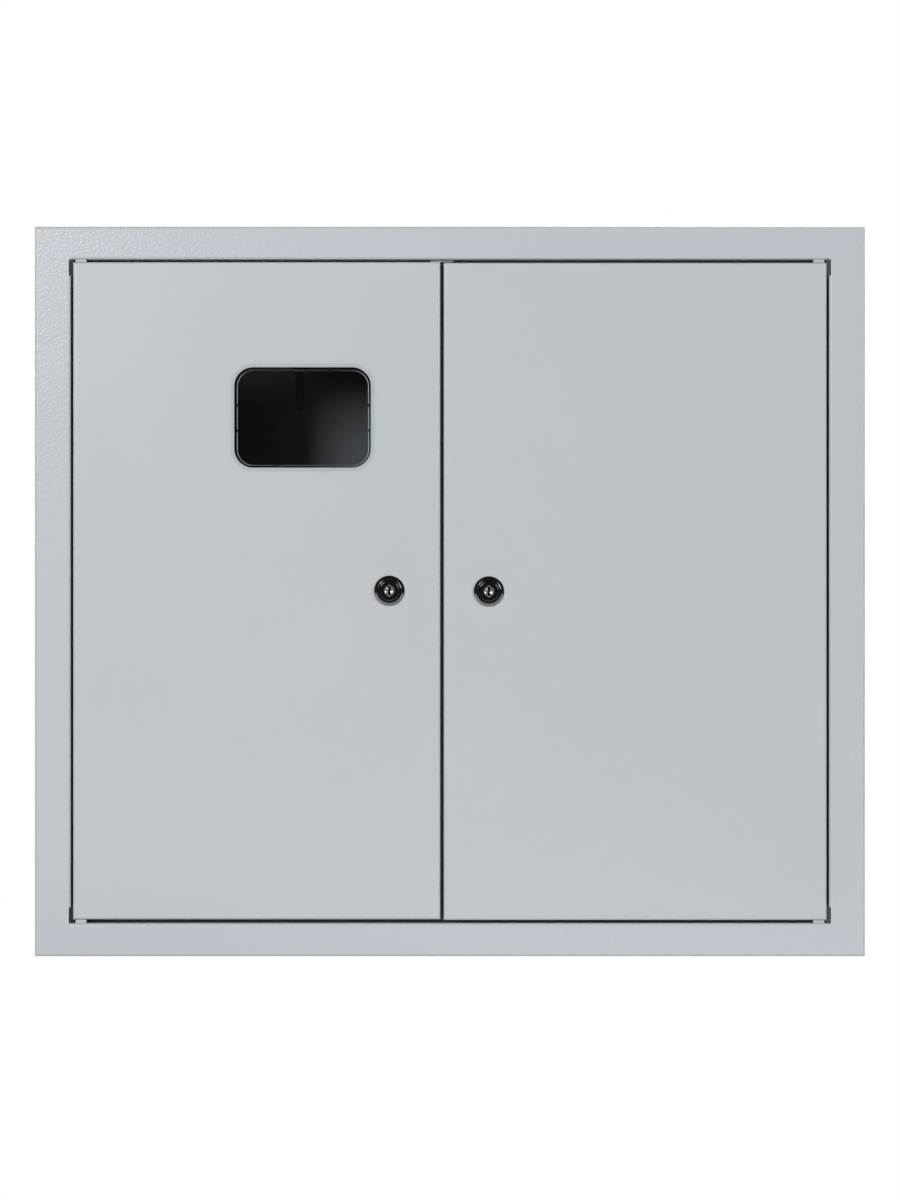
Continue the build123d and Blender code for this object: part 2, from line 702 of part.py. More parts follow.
os.makedirs("parts", exist_ok=True)
for name, shape in parts.items():
    export_step(shape, f"parts/{name}.step")
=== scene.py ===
# %% [markdown]
# # A flush cabinet for a meter and its circuit breakers
#
# The object is a sheet-steel cabinet that is let into a wall: a recess box, a rim frame in front
# of it, two flush doors on pin hinges, a clear snap-in window and two cam locks. The sheet metal
# is already modelled to size, so this lesson gives it its finishes, adds the small fasteners
# that repeat all over it, gives the window and the locks their fine edges, and sets up a plain
# studio.

# %% Load the model
import json
import math

import bmesh
import bpy
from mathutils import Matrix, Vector


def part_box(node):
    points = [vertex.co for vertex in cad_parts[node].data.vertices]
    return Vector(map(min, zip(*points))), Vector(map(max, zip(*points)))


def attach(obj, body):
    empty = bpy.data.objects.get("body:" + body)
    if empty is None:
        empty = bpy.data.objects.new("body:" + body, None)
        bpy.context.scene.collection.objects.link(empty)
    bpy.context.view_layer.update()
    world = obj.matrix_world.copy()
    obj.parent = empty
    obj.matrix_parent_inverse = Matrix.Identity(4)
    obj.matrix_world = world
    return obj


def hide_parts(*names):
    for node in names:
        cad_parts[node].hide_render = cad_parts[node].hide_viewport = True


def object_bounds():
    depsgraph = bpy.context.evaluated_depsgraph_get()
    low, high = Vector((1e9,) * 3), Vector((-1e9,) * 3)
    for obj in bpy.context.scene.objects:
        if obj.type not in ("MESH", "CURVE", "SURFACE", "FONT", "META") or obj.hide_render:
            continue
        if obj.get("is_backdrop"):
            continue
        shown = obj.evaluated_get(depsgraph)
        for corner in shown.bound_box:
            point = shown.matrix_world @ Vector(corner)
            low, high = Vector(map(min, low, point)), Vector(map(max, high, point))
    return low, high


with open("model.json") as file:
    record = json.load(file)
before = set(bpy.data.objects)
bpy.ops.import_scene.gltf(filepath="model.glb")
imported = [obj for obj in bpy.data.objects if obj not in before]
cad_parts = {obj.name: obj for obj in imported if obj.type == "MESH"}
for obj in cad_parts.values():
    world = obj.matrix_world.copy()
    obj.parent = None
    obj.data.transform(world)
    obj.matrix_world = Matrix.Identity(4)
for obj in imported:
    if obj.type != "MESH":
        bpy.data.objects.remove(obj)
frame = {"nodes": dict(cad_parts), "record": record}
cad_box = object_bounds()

MM = 0.001
nodes = frame["nodes"]

# %% [markdown]
# ## Sizes read from the model
#
# Everything that is added later has to sit on a real piece, so its place is worked out from the
# boxes of the pieces themselves. Depths grow along +Y and the front looks along -Y.

# %% Overall size and the front of the rim
rim_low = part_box("front_frame")[0]
size = Vector(cad_box[1]) - Vector(cad_box[0])
print("overall size in mm:", [round(value / MM, 1) for value in size])
print("front of the rim in mm:", round(rim_low.y / MM, 1))

# %% [markdown]
# ## A bench for node trees
#
# Materials and Geometry Nodes are both trees of nodes. Making each node by hand takes five lines,
# so one method makes any node from its type, its settings and its sockets. The value that it
# gives back knows Python's operators, so a mask can be written as `1 - wear * 0.5` and the Math
# nodes appear by themselves.

# %% Node bench


class Wire:
    """An output socket that Python's operators can work on."""

    def __init__(self, bench, socket):
        self.bench = bench
        self.socket = socket

    def other(self, name):
        """Another output of the same node."""
        return Wire(self.bench, self.socket.node.outputs[name])

    def math(self, operation, first, second):
        """A Math node between two values."""
        return self.bench.node("ShaderNodeMath", {"operation": operation}, {0: first, 1: second})

    def __add__(self, other):
        return self.math("ADD", self, other)

    def __sub__(self, other):
        return self.math("SUBTRACT", self, other)

    def __rsub__(self, other):
        return self.math("SUBTRACT", other, self)

    def __mul__(self, other):
        return self.math("MULTIPLY", self, other)

    __radd__ = __add__
    __rmul__ = __mul__


class Bench:
    """A node tree with one way to add nodes."""

    def __init__(self, tree):
        self.tree = tree

    def node(self, kind, settings=None, sockets=None, output=0):
        """Adds a node: its settings first, then the values or links of its sockets."""
        made = self.tree.nodes.new(kind)
        for name, value in (settings or {}).items():
            setattr(made, name, value)
        for name, value in (sockets or {}).items():
            for item in value if isinstance(value, list) else [value]:
                self.fill(made.inputs[name], item)
        return Wire(self, made.outputs[output]) if made.outputs else None

    def fill(self, socket, value):
        """Links a wire to a socket, or sets its value."""
        if isinstance(value, Wire):
            self.tree.links.new(value.socket, socket)
        else:
            socket.default_value = value


# %% [markdown]
# ## Finishes
#
# Each finish is a Principled shader on Object coordinates, in metres, so a grain of one
# millimetre is a noise of scale 1000. Only what changes over the surface is linked. Numbers that
# stay the same are set on the shader itself.

# %% Helpers for finishes


def start_finish(name, constants):
    """Makes an empty material with one Principled shader and sets its constant sockets."""
    material = bpy.data.materials.new(name)
    material.use_nodes = True
    material.node_tree.nodes.clear()
    bench = Bench(material.node_tree)
    bsdf = bench.node("ShaderNodeBsdfPrincipled", {}, constants)
    bench.node("ShaderNodeOutputMaterial", {}, {"Surface": bsdf})
    print("finish:", name)
    return material, bench, bsdf.socket.node


def object_place(bench):
    """Coordinates of a point on the piece, in metres."""
    return bench.node("ShaderNodeTexCoord", output="Object")


def stretched(bench, scale):
    """Object coordinates multiplied by a scale along each axis."""
    return bench.node("ShaderNodeMapping", {}, {"Vector": object_place(bench), "Scale": scale})


def noise(bench, place, scale, detail=2.0, roughness=0.5):
    """Noise value from 0 to 1."""
    sockets = {"Vector": place, "Scale": scale, "Detail": detail, "Roughness": roughness}
    return bench.node("ShaderNodeTexNoise", {}, sockets)


def tint(bench, factor, first, second):
    """Colour between two colours, which a Mix node has in its sockets 6 and 7."""
    sockets = {0: factor, 6: (*first, 1), 7: (*second, 1)}
    return bench.node("ShaderNodeMix", {"data_type": "RGBA"}, sockets, 2)


def between(wire, low, high):
    """A value from 0 to 1 spread over a range."""
    return low + wire * (high - low)


def bump(bench, height, strength, distance):
    """Normal that follows a height, given in metres by its distance."""
    sockets = {"Height": height, "Strength": strength, "Distance": distance}
    return bench.node("ShaderNodeBump", {}, sockets)


finishes = {}

# %% [markdown]
# The powder coat is baked plastic powder. It is one even pale grey, but it flows out into an
# orange-peel skin with dimples about two millimetres wide. A flat colour would look like card,
# so two noises make the skin, a slow one shifts the tone a little, and the roughness follows the
# skin. The dimples are at most a fifth of a millimetre deep, so they show where a lamp is
# mirrored and hardly elsewhere. Powder that is blown into a narrow gap lands thin and dry, so the
# coat loses its gloss a few millimetres behind the front. The doors lie flat in the oven, so
# their powder flows out smoother than on the folded frame. The box that goes into the wall has
# a dry, matt coat of the same grey. The plate for the meter gets a matt dark coat, which is painted
# shade that keeps the inside seen through the window dark. So the gloss and the depth of the
# dimples are inputs.

# %% Powder coat
PALE_GREY = (0.51, 0.540, 0.566)
SHADE_DARK_GREY = (0.095, 0.102, 0.110)
CLOUD_SCALE = 7.0
PEEL_SCALE = 520.0
GRAIN_SCALE = 2100.0
GRAIN_SHARE = 0.15
TONE_SHIFT = 0.02
PEEL_ROUGHNESS = 0.06
DRY_ROUGHNESS = 0.65
DRY_FROM = 2.0 * MM
DRY_TO = 6.0 * MM
SATIN = {"gloss": 0.25, "roughness": 0.22}
MATT = {"gloss": 0.05, "roughness": 0.60}
BOX_DIMPLE = 0.2 * MM
FRAME_DIMPLE = 0.16 * MM
FLAT_SHEET_DIMPLE = 0.05 * MM


def powder_coat(name, colour, gloss, roughness, dimple):
    """Powder coat with an orange-peel skin that is dry behind the front."""
    material, bench, bsdf = start_finish(name, {"Specular IOR Level": gloss})
    place = object_place(bench)
    depth = bench.node("ShaderNodeSeparateXYZ", {}, {0: place}, "Y")
    limits = {"Value": depth, "From Min": rim_low.y + DRY_FROM, "From Max": rim_low.y + DRY_TO}
    dry = bench.node("ShaderNodeMapRange", {}, limits)
    cloud = noise(bench, place, CLOUD_SCALE)
    peel = noise(bench, place, PEEL_SCALE, 0.5)
    grain = noise(bench, place, GRAIN_SCALE, 1.0)
    paler = tuple(value * (1 + TONE_SHIFT) for value in colour)
    deeper = tuple(value * (1 - TONE_SHIFT) for value in colour)
    bench.fill(bsdf.inputs["Base Color"], tint(bench, cloud, deeper, paler))
    dryness = dry * (DRY_ROUGHNESS - roughness)
    bench.fill(bsdf.inputs["Roughness"], roughness + peel * PEEL_ROUGHNESS + dryness)
    skin = peel + grain * GRAIN_SHARE
    bench.fill(bsdf.inputs["Normal"], bump(bench, skin, 1.0, dimple))
    print("depth of its dimples in mm, at most:", round(dimple / MM, 2))
    return material


finishes["paint"] = powder_coat("pale_powder_coat", PALE_GREY, dimple=FRAME_DIMPLE, **SATIN)
# The dark coat is painted shade: it darkens the meter plate seen through the window
finishes["dark_paint"] = powder_coat("shaded_powder_coat", SHADE_DARK_GREY, dimple=FLAT_SHEET_DIMPLE, **MATT)
matt_coat = powder_coat("matt_powder_coat", PALE_GREY, dimple=BOX_DIMPLE, **MATT)
smooth_coat = powder_coat("smooth_powder_coat", PALE_GREY, dimple=FLAT_SHEET_DIMPLE, **SATIN)

# %% [markdown]
# Rails, brackets, pins and screws are zinc plated. Zinc grows in faint crystals and carries the
# streaks of the rolling mill, so a Voronoi cell tints the metal and a stretched noise roughens it.
# A picture of zinc would do too, but it repeats, and noise doesn't.

# %% Zinc
CRYSTAL_SCALE = 160.0
MILL_STREAKS = (900.0, 900.0, 20.0)
ZINC_DARK = (0.44, 0.45, 0.47)
ZINC_LIGHT = (0.66, 0.67, 0.69)
ZINC_ROUGHNESS = (0.30, 0.48)
STREAK_DEPTH = 0.08 * MM


def zinc_plate():
    """Zinc-plated steel with faint crystals and rolling streaks."""
    material, bench, bsdf = start_finish("zinc_plate", {"Metallic": 1.0})
    place = object_place(bench)
    sockets = {"Vector": place, "Scale": CRYSTAL_SCALE}
    cell = bench.node("ShaderNodeTexVoronoi", {}, sockets, "Color")
    grey = bench.node("ShaderNodeRGBToBW", {}, {"Color": cell})
    streak = noise(bench, stretched(bench, MILL_STREAKS), 1.0)
    shade = grey * 0.5 + streak * 0.5
    bench.fill(bsdf.inputs["Base Color"], tint(bench, shade, ZINC_DARK, ZINC_LIGHT))
    bench.fill(bsdf.inputs["Roughness"], between(streak, *ZINC_ROUGHNESS))
    bench.fill(bsdf.inputs["Normal"], bump(bench, streak, 0.15, STREAK_DEPTH))
    return material


finishes["zinc"] = zinc_plate()

# %% [markdown]
# The lock plugs are nickel plated, which is smoother than zinc, so one fine noise for its haze is
# enough. The plugs get a darker copy of the nickel, which is painted shade that dims what their
# faces reflect. The terminal bars are drawn brass, so their streaks run along the bar and a slow
# noise tarnishes them.

# %% Nickel and brass
HAZE_SCALE = 900.0
HAZED_SHARE = 0.8
BRIGHT_NICKEL = 0.45
SHADED_NICKEL_LEVEL = 0.15
NICKEL_ROUGHNESS = (0.12, 0.24)
TARNISH_SCALE = 60.0
DRAWN_STREAKS = (25.0, 1200.0, 1200.0)
BRASS_DARK = (0.58, 0.39, 0.14)
BRASS_LIGHT = (0.78, 0.57, 0.26)
BRASS_ROUGHNESS = (0.22, 0.40)
DRAWN_DEPTH = 0.06 * MM


def nickel_plate(name, level):
    """Hazed nickel plate of a given brightness."""
    material, bench, bsdf = start_finish(name, {"Metallic": 1.0})
    haze = noise(bench, object_place(bench), HAZE_SCALE)
    bright = (level, level, level)
    hazed = tuple(value * HAZED_SHARE for value in bright)
    bench.fill(bsdf.inputs["Base Color"], tint(bench, haze, hazed, bright))
    bench.fill(bsdf.inputs["Roughness"], between(haze, *NICKEL_ROUGHNESS))
    return material


def plain_brass():
    """Drawn brass of the terminal bars."""
    material, bench, bsdf = start_finish("plain_brass", {"Metallic": 1.0})
    streak = noise(bench, stretched(bench, DRAWN_STREAKS), 1.0)
    tarnish = noise(bench, object_place(bench), TARNISH_SCALE)
    tone = streak * 0.4 + tarnish * 0.6
    bench.fill(bsdf.inputs["Base Color"], tint(bench, tone, BRASS_DARK, BRASS_LIGHT))
    bench.fill(bsdf.inputs["Roughness"], between(streak, *BRASS_ROUGHNESS))
    bench.fill(bsdf.inputs["Normal"], bump(bench, streak, 0.2, DRAWN_DEPTH))
    return material


finishes["nickel"] = nickel_plate("bright_nickel", BRIGHT_NICKEL)
# A darker copy of the nickel for the plugs, as painted shade on their reflection
shaded_nickel = nickel_plate("shaded_nickel", SHADED_NICKEL_LEVEL)
finishes["brass"] = plain_brass()

# %% [markdown]
# The lock bezels are black plated and mirror smooth. The mesh carries a value, and the black gives
# way to bare metal where it is high: painted highlights on the raised ring, a painted reflection on
# the lower bevel, and real wear where the key rubs the keyhole. The insulators are moulded plastic
# with a fine eroded grain.

# %% Black plating and moulded plastic
BLACK = (0.004, 0.004, 0.005)
BARE_METAL_AND_HIGHLIGHT = (0.80, 0.80, 0.80)
PLATING_GLOSS = 0.05
PLATING_HAZE_SCALE = 420.0
PLATING_ROUGHNESS = (0.05, 0.13)
EROSION_SCALE = 3000.0
EROSION_DEPTH = 0.05 * MM
FLOW_SCALE = 90.0
FLOW_SHARE = 0.85
MOULDED_ROUGHNESS = (0.42, 0.58)
NYLON_GREY = (0.47, 0.49, 0.51)
INSULATOR_BLUE = (0.03, 0.12, 0.40)
INSULATOR_GREEN = (0.05, 0.26, 0.07)


def gloss_black():
    """Polished black of the lock bezels, with painted highlights and wear read from the mesh."""
    material, bench, bsdf = start_finish("gloss_black", {"Specular IOR Level": PLATING_GLOSS})
    haze = noise(bench, object_place(bench), PLATING_HAZE_SCALE)
    polish = bench.node("ShaderNodeAttribute", {"attribute_name": "polish"}, {}, "Fac")
    # Bare metal where the mesh value is high: painted highlights, painted reflection and keyhole wear
    lit_or_worn_black = tint(bench, polish, BLACK, BARE_METAL_AND_HIGHLIGHT)
    bench.fill(bsdf.inputs["Base Color"], lit_or_worn_black)
    bench.fill(bsdf.inputs["Metallic"], polish)
    bench.fill(bsdf.inputs["Roughness"], between(haze, *PLATING_ROUGHNESS))
    return material


def moulded(name, colour):
    """Matt moulded plastic with a fine eroded grain."""
    material, bench, bsdf = start_finish(name, {"IOR": 1.5})
    place = object_place(bench)
    grain = noise(bench, place, EROSION_SCALE)
    flow = noise(bench, place, FLOW_SCALE)
    dark = tuple(value * FLOW_SHARE for value in colour)
    bench.fill(bsdf.inputs["Base Color"], tint(bench, flow, dark, colour))
    bench.fill(bsdf.inputs["Roughness"], between(grain, *MOULDED_ROUGHNESS))
    bench.fill(bsdf.inputs["Normal"], bump(bench, grain, 0.2, EROSION_DEPTH))
    return material


finishes["black"] = gloss_black()
finishes["nylon"] = moulded("grey_nylon", NYLON_GREY)
finishes["blue"] = moulded("blue_insulator", INSULATOR_BLUE)
finishes["green"] = moulded("green_insulator", INSULATOR_GREEN)

# %% [markdown]
# The window is clear moulded plastic. A pane that bends light would hold the lamps back and then
# count their light twice, so for shadows and for light that has already been scattered the pane is
# plainly transparent. Its gloss is kept low, so that the dark inside shows through it.

# %% Clear window
CLEAR_TINT = (0.93, 0.95, 0.96, 1.0)
PANE_IOR = 1.09
SMEAR_SCALE = 35.0
PANE_ROUGHNESS = (0.004, 0.016)


def clear_window():
    """Clear polished plastic of the window."""
    constants = {"IOR": PANE_IOR, "Transmission Weight": 1.0, "Base Color": CLEAR_TINT}
    material, bench, bsdf = start_finish("clear_window", constants)
    smear = noise(bench, object_place(bench), SMEAR_SCALE)
    bench.fill(bsdf.inputs["Roughness"], between(smear, *PANE_ROUGHNESS))
    shadow = bench.node("ShaderNodeLightPath", output="Is Shadow Ray")
    plain_way = shadow + shadow.other("Diffuse Depth")
    plain_way = plain_way.math("MINIMUM", plain_way, 1.0)
    lets_light_in = bench.node("ShaderNodeBsdfTransparent", {}, {"Color": CLEAR_TINT})
    sockets = {0: plain_way, 1: Wire(bench, bsdf.outputs[0]), 2: lets_light_in}
    pane = bench.node("ShaderNodeMixShader", {}, sockets)
    output = next(node for node in bench.tree.nodes if node.type == "OUTPUT_MATERIAL")
    bench.fill(output.inputs["Surface"], pane)
    return material


finishes["clear"] = clear_window()

# %% [markdown]
# Each piece of the model names a slot, and every slot has one finish. Pieces of one slot can still
# differ: the recess box is matt and the doors are smoother than the frame, so those three get
# coats of their own.

# %% Give every piece its finish
own_coats = {"recess_box": matt_coat, "left_door": smooth_coat, "right_door": smooth_coat}
for part in frame["record"]["subparts"]:
    name = part["node"]
    mesh = nodes[name].data
    mesh.materials.clear()
    mesh.materials.append(own_coats.get(name, finishes[part["material_slot"]]))
print("slots filled:", sorted(finishes), "and coats of their own:", sorted(own_coats))

# %% [markdown]
# ## Recipes for what repeats
#
# The cabinet is held together by dozens of small screws and nuts. Each kind is drawn once as a
# Geometry Nodes tree with named sizes, and the tree puts a copy on every point that it is given.
# Modelling them one by one would give no better shape, and a change of size would have to be
# made dozens of times.

# %% Start and end of a recipe
COMMON_INPUTS = {
    "Facing": "NodeSocketVector",
    "Spin": "NodeSocketFloat",
    "Seed": "NodeSocketInt",
    "Finish": "NodeSocketMaterial",
}


def start_recipe(name, sizes):
    """Makes a Geometry Nodes tree with named sizes and the inputs that every recipe has."""
    tree = bpy.data.node_groups.new(name, "GeometryNodeTree")
    tree.interface.new_socket("Geometry", in_out="INPUT", socket_type="NodeSocketGeometry")
    for label in sizes:
        tree.interface.new_socket(label, in_out="INPUT", socket_type="NodeSocketFloat")
    for label, kind in COMMON_INPUTS.items():
        tree.interface.new_socket(label, in_out="INPUT", socket_type=kind)
    tree.interface.new_socket("Geometry", in_out="OUTPUT", socket_type="NodeSocketGeometry")
    bench = Bench(tree)
    entry = bench.node("NodeGroupInput").socket.node
    given = {socket.name: Wire(bench, socket) for socket in entry.outputs if socket.name}
    return bench, given


def triple(bench, x, y, z):
    """A vector from three values."""
    return bench.node("ShaderNodeCombineXYZ", {}, {"X": x, "Y": y, "Z": z})


def end_recipe(bench, given, shape):
    """Puts the shape on every point, turned to its facing, and ends in one real mesh."""
    # Sockets 2 and 3 of a Random Value node are the least and the greatest number
    sockets = {2: 0.0, 3: given["Spin"], "Seed": given["Seed"]}
    spin = bench.node("FunctionNodeRandomValue", {"data_type": "FLOAT"}, sockets, 1)
    about = bench.node("FunctionNodeEulerToRotation", {}, {0: triple(bench, 0.0, 0.0, spin)})
    facing = bench.node("FunctionNodeEulerToRotation", {}, {0: given["Facing"]})
    sockets = {0: facing, 1: about}
    turn = bench.node("FunctionNodeRotateRotation", {"rotation_space": "LOCAL"}, sockets)
    sockets = {"Points": given["Geometry"], "Instance": shape, "Rotation": turn}
    copies = bench.node("GeometryNodeInstanceOnPoints", {}, sockets)
    real = bench.node("GeometryNodeRealizeInstances", {}, {"Geometry": copies})
    sockets = {"Geometry": real, "Material": given["Finish"]}
    finished = bench.node("GeometryNodeSetMaterial", {}, sockets)
    bench.node("NodeGroupOutput", {}, {"Geometry": finished})
    print("recipe", bench.tree.name, "nodes:", len(bench.tree.nodes))
    return bench.tree


# %% [markdown]
# Two moves come back in most recipes. A shape is lifted along its own axis, and a face is pulled
# out and drawn in, which is how a press forms the head of a screw.

# %% Moves inside a recipe


def lifted(bench, shape, height):
    """A shape moved up along its own axis."""
    sockets = {"Geometry": shape, "Translation": triple(bench, 0.0, 0.0, height)}
    return bench.node("GeometryNodeTransform", {}, sockets)


def pressed(bench, mesh, faces, lift, scale):
    """Pulls faces out and draws them in, and gives the mesh and the new faces."""
    sockets = {"Mesh": mesh, "Selection": faces, "Offset Scale": lift, "Individual": False}
    pulled = bench.node("GeometryNodeExtrudeMesh", {"mode": "FACES"}, sockets)
    sockets = {"Geometry": pulled, "Selection": pulled.other("Top"), "Scale": scale}
    drawn = bench.node("GeometryNodeScaleElements", {"domain": "FACE"}, sockets)
    return drawn, pulled.other("Top")


# %% [markdown]
# A recipe runs as a modifier on a mesh of bare points. What it grows is kept as a plain mesh and the
# modifier is taken off again, because a finished piece has to ride on a body without its recipe.

# %% From a recipe to a piece


def plain_object(name, mesh, body, sharp=30.0):
    """Makes a finished mesh a piece that rides on a body."""
    mesh.name = name
    mesh.shade_smooth()
    mesh.set_sharp_from_angle(angle=math.radians(sharp))
    piece = bpy.data.objects.new(name, mesh)
    bpy.context.scene.collection.objects.link(piece)
    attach(piece, body)
    print(name, "faces:", len(mesh.polygons))
    return piece


def grow(name, places, recipe, sizes, body):
    """Runs a recipe on a list of places and keeps the result as one plain mesh."""
    points = bpy.data.meshes.new(name + "_points")
    points.from_pydata([tuple(place) for place in places], [], [])
    holder = bpy.data.objects.new(name + "_points", points)
    bpy.context.scene.collection.objects.link(holder)
    modifier = holder.modifiers.new("recipe", "NODES")
    modifier.node_group = recipe
    for socket in recipe.interface.items_tree:
        if socket.in_out == "INPUT" and socket.name in sizes:
            modifier[socket.identifier] = sizes[socket.name]
    depsgraph = bpy.context.evaluated_depsgraph_get()
    mesh = bpy.data.meshes.new_from_object(holder.evaluated_get(depsgraph))
    holder.modifiers.remove(modifier)
    bpy.data.objects.remove(holder)
    bpy.data.meshes.remove(points)
    return plain_object(name, mesh, body)


# %% [markdown]
# A pan-head screw is pressed from wire: a low wall, a rounded shoulder, a flat crown and one slot
# sawn across. The recipe follows those steps with a cylinder, two pulls and a boolean cut, and a
# fixed seed turns each slot another way, because nobody lines them up.

# %% Slotted screw
HEAD_STEPS = 24
SHANK_STEPS = 16
SHOULDER_TAPER = 0.9
CROWN_TAPER = 0.65
SLOT_SHARE = 0.3


def slotted_screw():
    """Recipe of a pan-head screw with a slot."""
    sizes = ("Head Radius", "Head Height", "Shank Radius", "Shank Length")
    bench, given = start_recipe("slotted_screw", sizes)
    radius = given["Head Radius"]
    height = given["Head Height"]
    wall_height = height * 0.5
    shoulder_height = height * 0.3
    crown_height = height * 0.2
    sockets = {"Vertices": HEAD_STEPS, "Radius": radius, "Depth": wall_height}
    wall = bench.node("GeometryNodeMeshCylinder", {}, sockets)
    shoulder, top = pressed(bench, wall, wall.other("Top"), shoulder_height, SHOULDER_TAPER)
    head = pressed(bench, shoulder, top, crown_height, CROWN_TAPER)[0]
    head = lifted(bench, head, wall_height * 0.5)
    slot_size = triple(bench, radius * 3, radius * SLOT_SHARE, height)
    saw = bench.node("GeometryNodeMeshCube", {}, {"Size": slot_size})
    saw = lifted(bench, saw, height * 1.1)
    head = bench.node("GeometryNodeMeshBoolean", {"operation": "DIFFERENCE"}, {0: head, 1: saw})
    length = given["Shank Length"]
    sockets = {"Vertices": SHANK_STEPS, "Radius": given["Shank Radius"], "Depth": length}
    shank = lifted(bench, bench.node("GeometryNodeMeshCylinder", {}, sockets), length * -0.5)
    screw = bench.node("GeometryNodeJoinGeometry", {}, {"Geometry": [head, shank]})
    return end_recipe(bench, given, screw)


screw = slotted_screw()

# %% [markdown]
# A nut is a hexagon with its corners turned off, and the end of the screw shows through it. A
# welded stud with its nut has the same shape, only longer, so one recipe serves both.

# %% Hexagon nut
CORNER_RADIUS_PER_FLAT = 0.5774
WASHER_STEPS = 28
SCREW_STEPS = 18
NUT_TAPER = 0.9
TIP_TAPER = 0.8


def hexagon_nut():
    """Recipe of a nut with the end of its screw."""
    sizes = ("Across Flats", "Nut Height", "Nut Seat", "Washer Radius")
    bench, given = start_recipe("hexagon_nut", sizes + ("Screw Radius", "Screw Reach"))
    height = given["Nut Height"]
    seat = given["Nut Seat"]
    corner = given["Across Flats"] * CORNER_RADIUS_PER_FLAT
    wall_height = height * 0.85
    bevel_height = height * 0.15
    sockets = {"Vertices": 6, "Radius": corner, "Depth": wall_height}
    block = bench.node("GeometryNodeMeshCylinder", {}, sockets)
    block = pressed(bench, block, block.other("Top"), bevel_height, NUT_TAPER)[0]
    block = lifted(bench, block, seat + wall_height * 0.5)
    sockets = {"Vertices": WASHER_STEPS, "Radius": given["Washer Radius"], "Depth": seat}
    washer = lifted(bench, bench.node("GeometryNodeMeshCylinder", {}, sockets), seat * 0.5)
    reach = given["Screw Reach"]
    end_length = reach * 0.94
    tip_length = reach * 0.06
    sockets = {"Vertices": SCREW_STEPS, "Radius": given["Screw Radius"], "Depth": end_length}
    end = bench.node("GeometryNodeMeshCylinder", {}, sockets)
    end = pressed(bench, end, end.other("Top"), tip_length, TIP_TAPER)[0]
    end = lifted(bench, end, end_length * 0.5)
    whole = bench.node("GeometryNodeJoinGeometry", {}, {"Geometry": [block, washer, end]})
    return end_recipe(bench, given, whole)


nut = hexagon_nut()

# %% [markdown]
# A thread is a ridge that climbs round a bar. Rings would be simpler, but they show as rings from the
# side, so the recipe sweeps a small diamond along a spiral, which has the true pitch.

# %% Thread
STEPS_PER_TURN = 24
DIAMOND = 4


def climbing_thread():
    """Recipe of a helical ridge."""
    bench, given = start_recipe("climbing_thread", ("Bar Radius", "Ridge", "Turns", "Length"))
    radius = given["Bar Radius"]
    sockets = {
        "Resolution": STEPS_PER_TURN,
        "Rotations": given["Turns"],
        "Start Radius": radius,
        "End Radius": radius,
        "Height": given["Length"],
    }
    path = bench.node("GeometryNodeCurveSpiral", {}, sockets)
    sockets = {"Resolution": DIAMOND, "Radius": given["Ridge"]}
    diamond = bench.node("GeometryNodeCurvePrimitiveCircle", {"mode": "RADIUS"}, sockets)
    sockets = {"Curve": path, "Profile Curve": diamond, "Fill Caps": True}
    ridge = bench.node("GeometryNodeCurveToMesh", {}, sockets)
    return end_recipe(bench, given, ridge)


thread = climbing_thread()

# %% [markdown]
# The brackets are spot welded to the back of the box. Each weld leaves a shallow dished ring the
# size of the electrode, so the recipe pulls a thin disc into a rim and sinks its middle.

# %% Spot weld
MARK_STEPS = 24
RIM_TAPER = 0.85
DISH_TAPER = 0.75


def spot_weld():
    """Recipe of the mark that a spot weld leaves."""
    bench, given = start_recipe("spot_weld", ("Mark Radius", "Mark Height"))
    height = given["Mark Height"]
    sockets = {"Vertices": MARK_STEPS, "Radius": given["Mark Radius"], "Depth": height}
    disc = bench.node("GeometryNodeMeshCylinder", {}, sockets)
    rim, top = pressed(bench, disc, disc.other("Top"), height * 0.5, RIM_TAPER)
    dish = pressed(bench, rim, top, height * -0.7, DISH_TAPER)[0]
    return end_recipe(bench, given, dish)


weld = spot_weld()

# %% [markdown]
# ## Fasteners in their places
#
# Every screw sits where two pieces of the model meet, so its seat is the front face of the piece
# in front and its place comes from the piece behind. Typed places would be right only until the
# next change of the model. Four screws hold the frame to the box, on the stop that the doors shut
# against.

# %% Screws of the frame
FRONT = (math.radians(90), 0.0, 0.0)
FRAME_SCREW_X = 190 * MM
FRAME_FLANGE = 5 * MM
STOP_FRONT = 17.788 * MM
GAP_ABOVE_LEFT_DOOR = 1.9 * MM

screw_sizes = {
    "Head Radius": 4.2 * MM,
    "Head Height": 2.0 * MM,
    "Shank Radius": 2.0 * MM,
    "Shank Length": 6.0 * MM,
    "Facing": FRONT,
    "Spin": math.pi,
    "Seed": 3,
    "Finish": finishes["zinc"],
}


def along(places, depth):
    """Points at one depth from pairs of X and Z."""
    return [Vector((x, depth, z)) for x, z in places]


opening_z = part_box("left_door")[1].z + GAP_ABOVE_LEFT_DOOR
flange_z = opening_z - FRAME_FLANGE
frame_places = [(x, z) for x in (-FRAME_SCREW_X, FRAME_SCREW_X) for z in (-flange_z, flange_z)]
stop_front = rim_low.y + STOP_FRONT
grow("frame_screws", along(frame_places, stop_front), screw, screw_sizes, "cabinet")

# %% [markdown]
# Behind the doors the meter plate is screwed to its two brackets, the rails to their uprights and
# the cover to four posts. The places are the middles of the pieces behind, so a screw always has
# something to bite into.

# %% Screws of the plate, the rails and the cover
PLATE_SCREW_DROP = 12 * MM
RAIL_FLOOR = 1.0 * MM
POST_HALF = 4 * MM
SIDES = ("left", "right")


def middle(low, high):
    """Centre of a box."""
    return (Vector(low) + Vector(high)) / 2


bracket_x = [middle(*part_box(f"meter_bracket_{side}")).x for side in SIDES]
upright_x = [middle(*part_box(f"rail_upright_{side}")).x for side in SIDES]

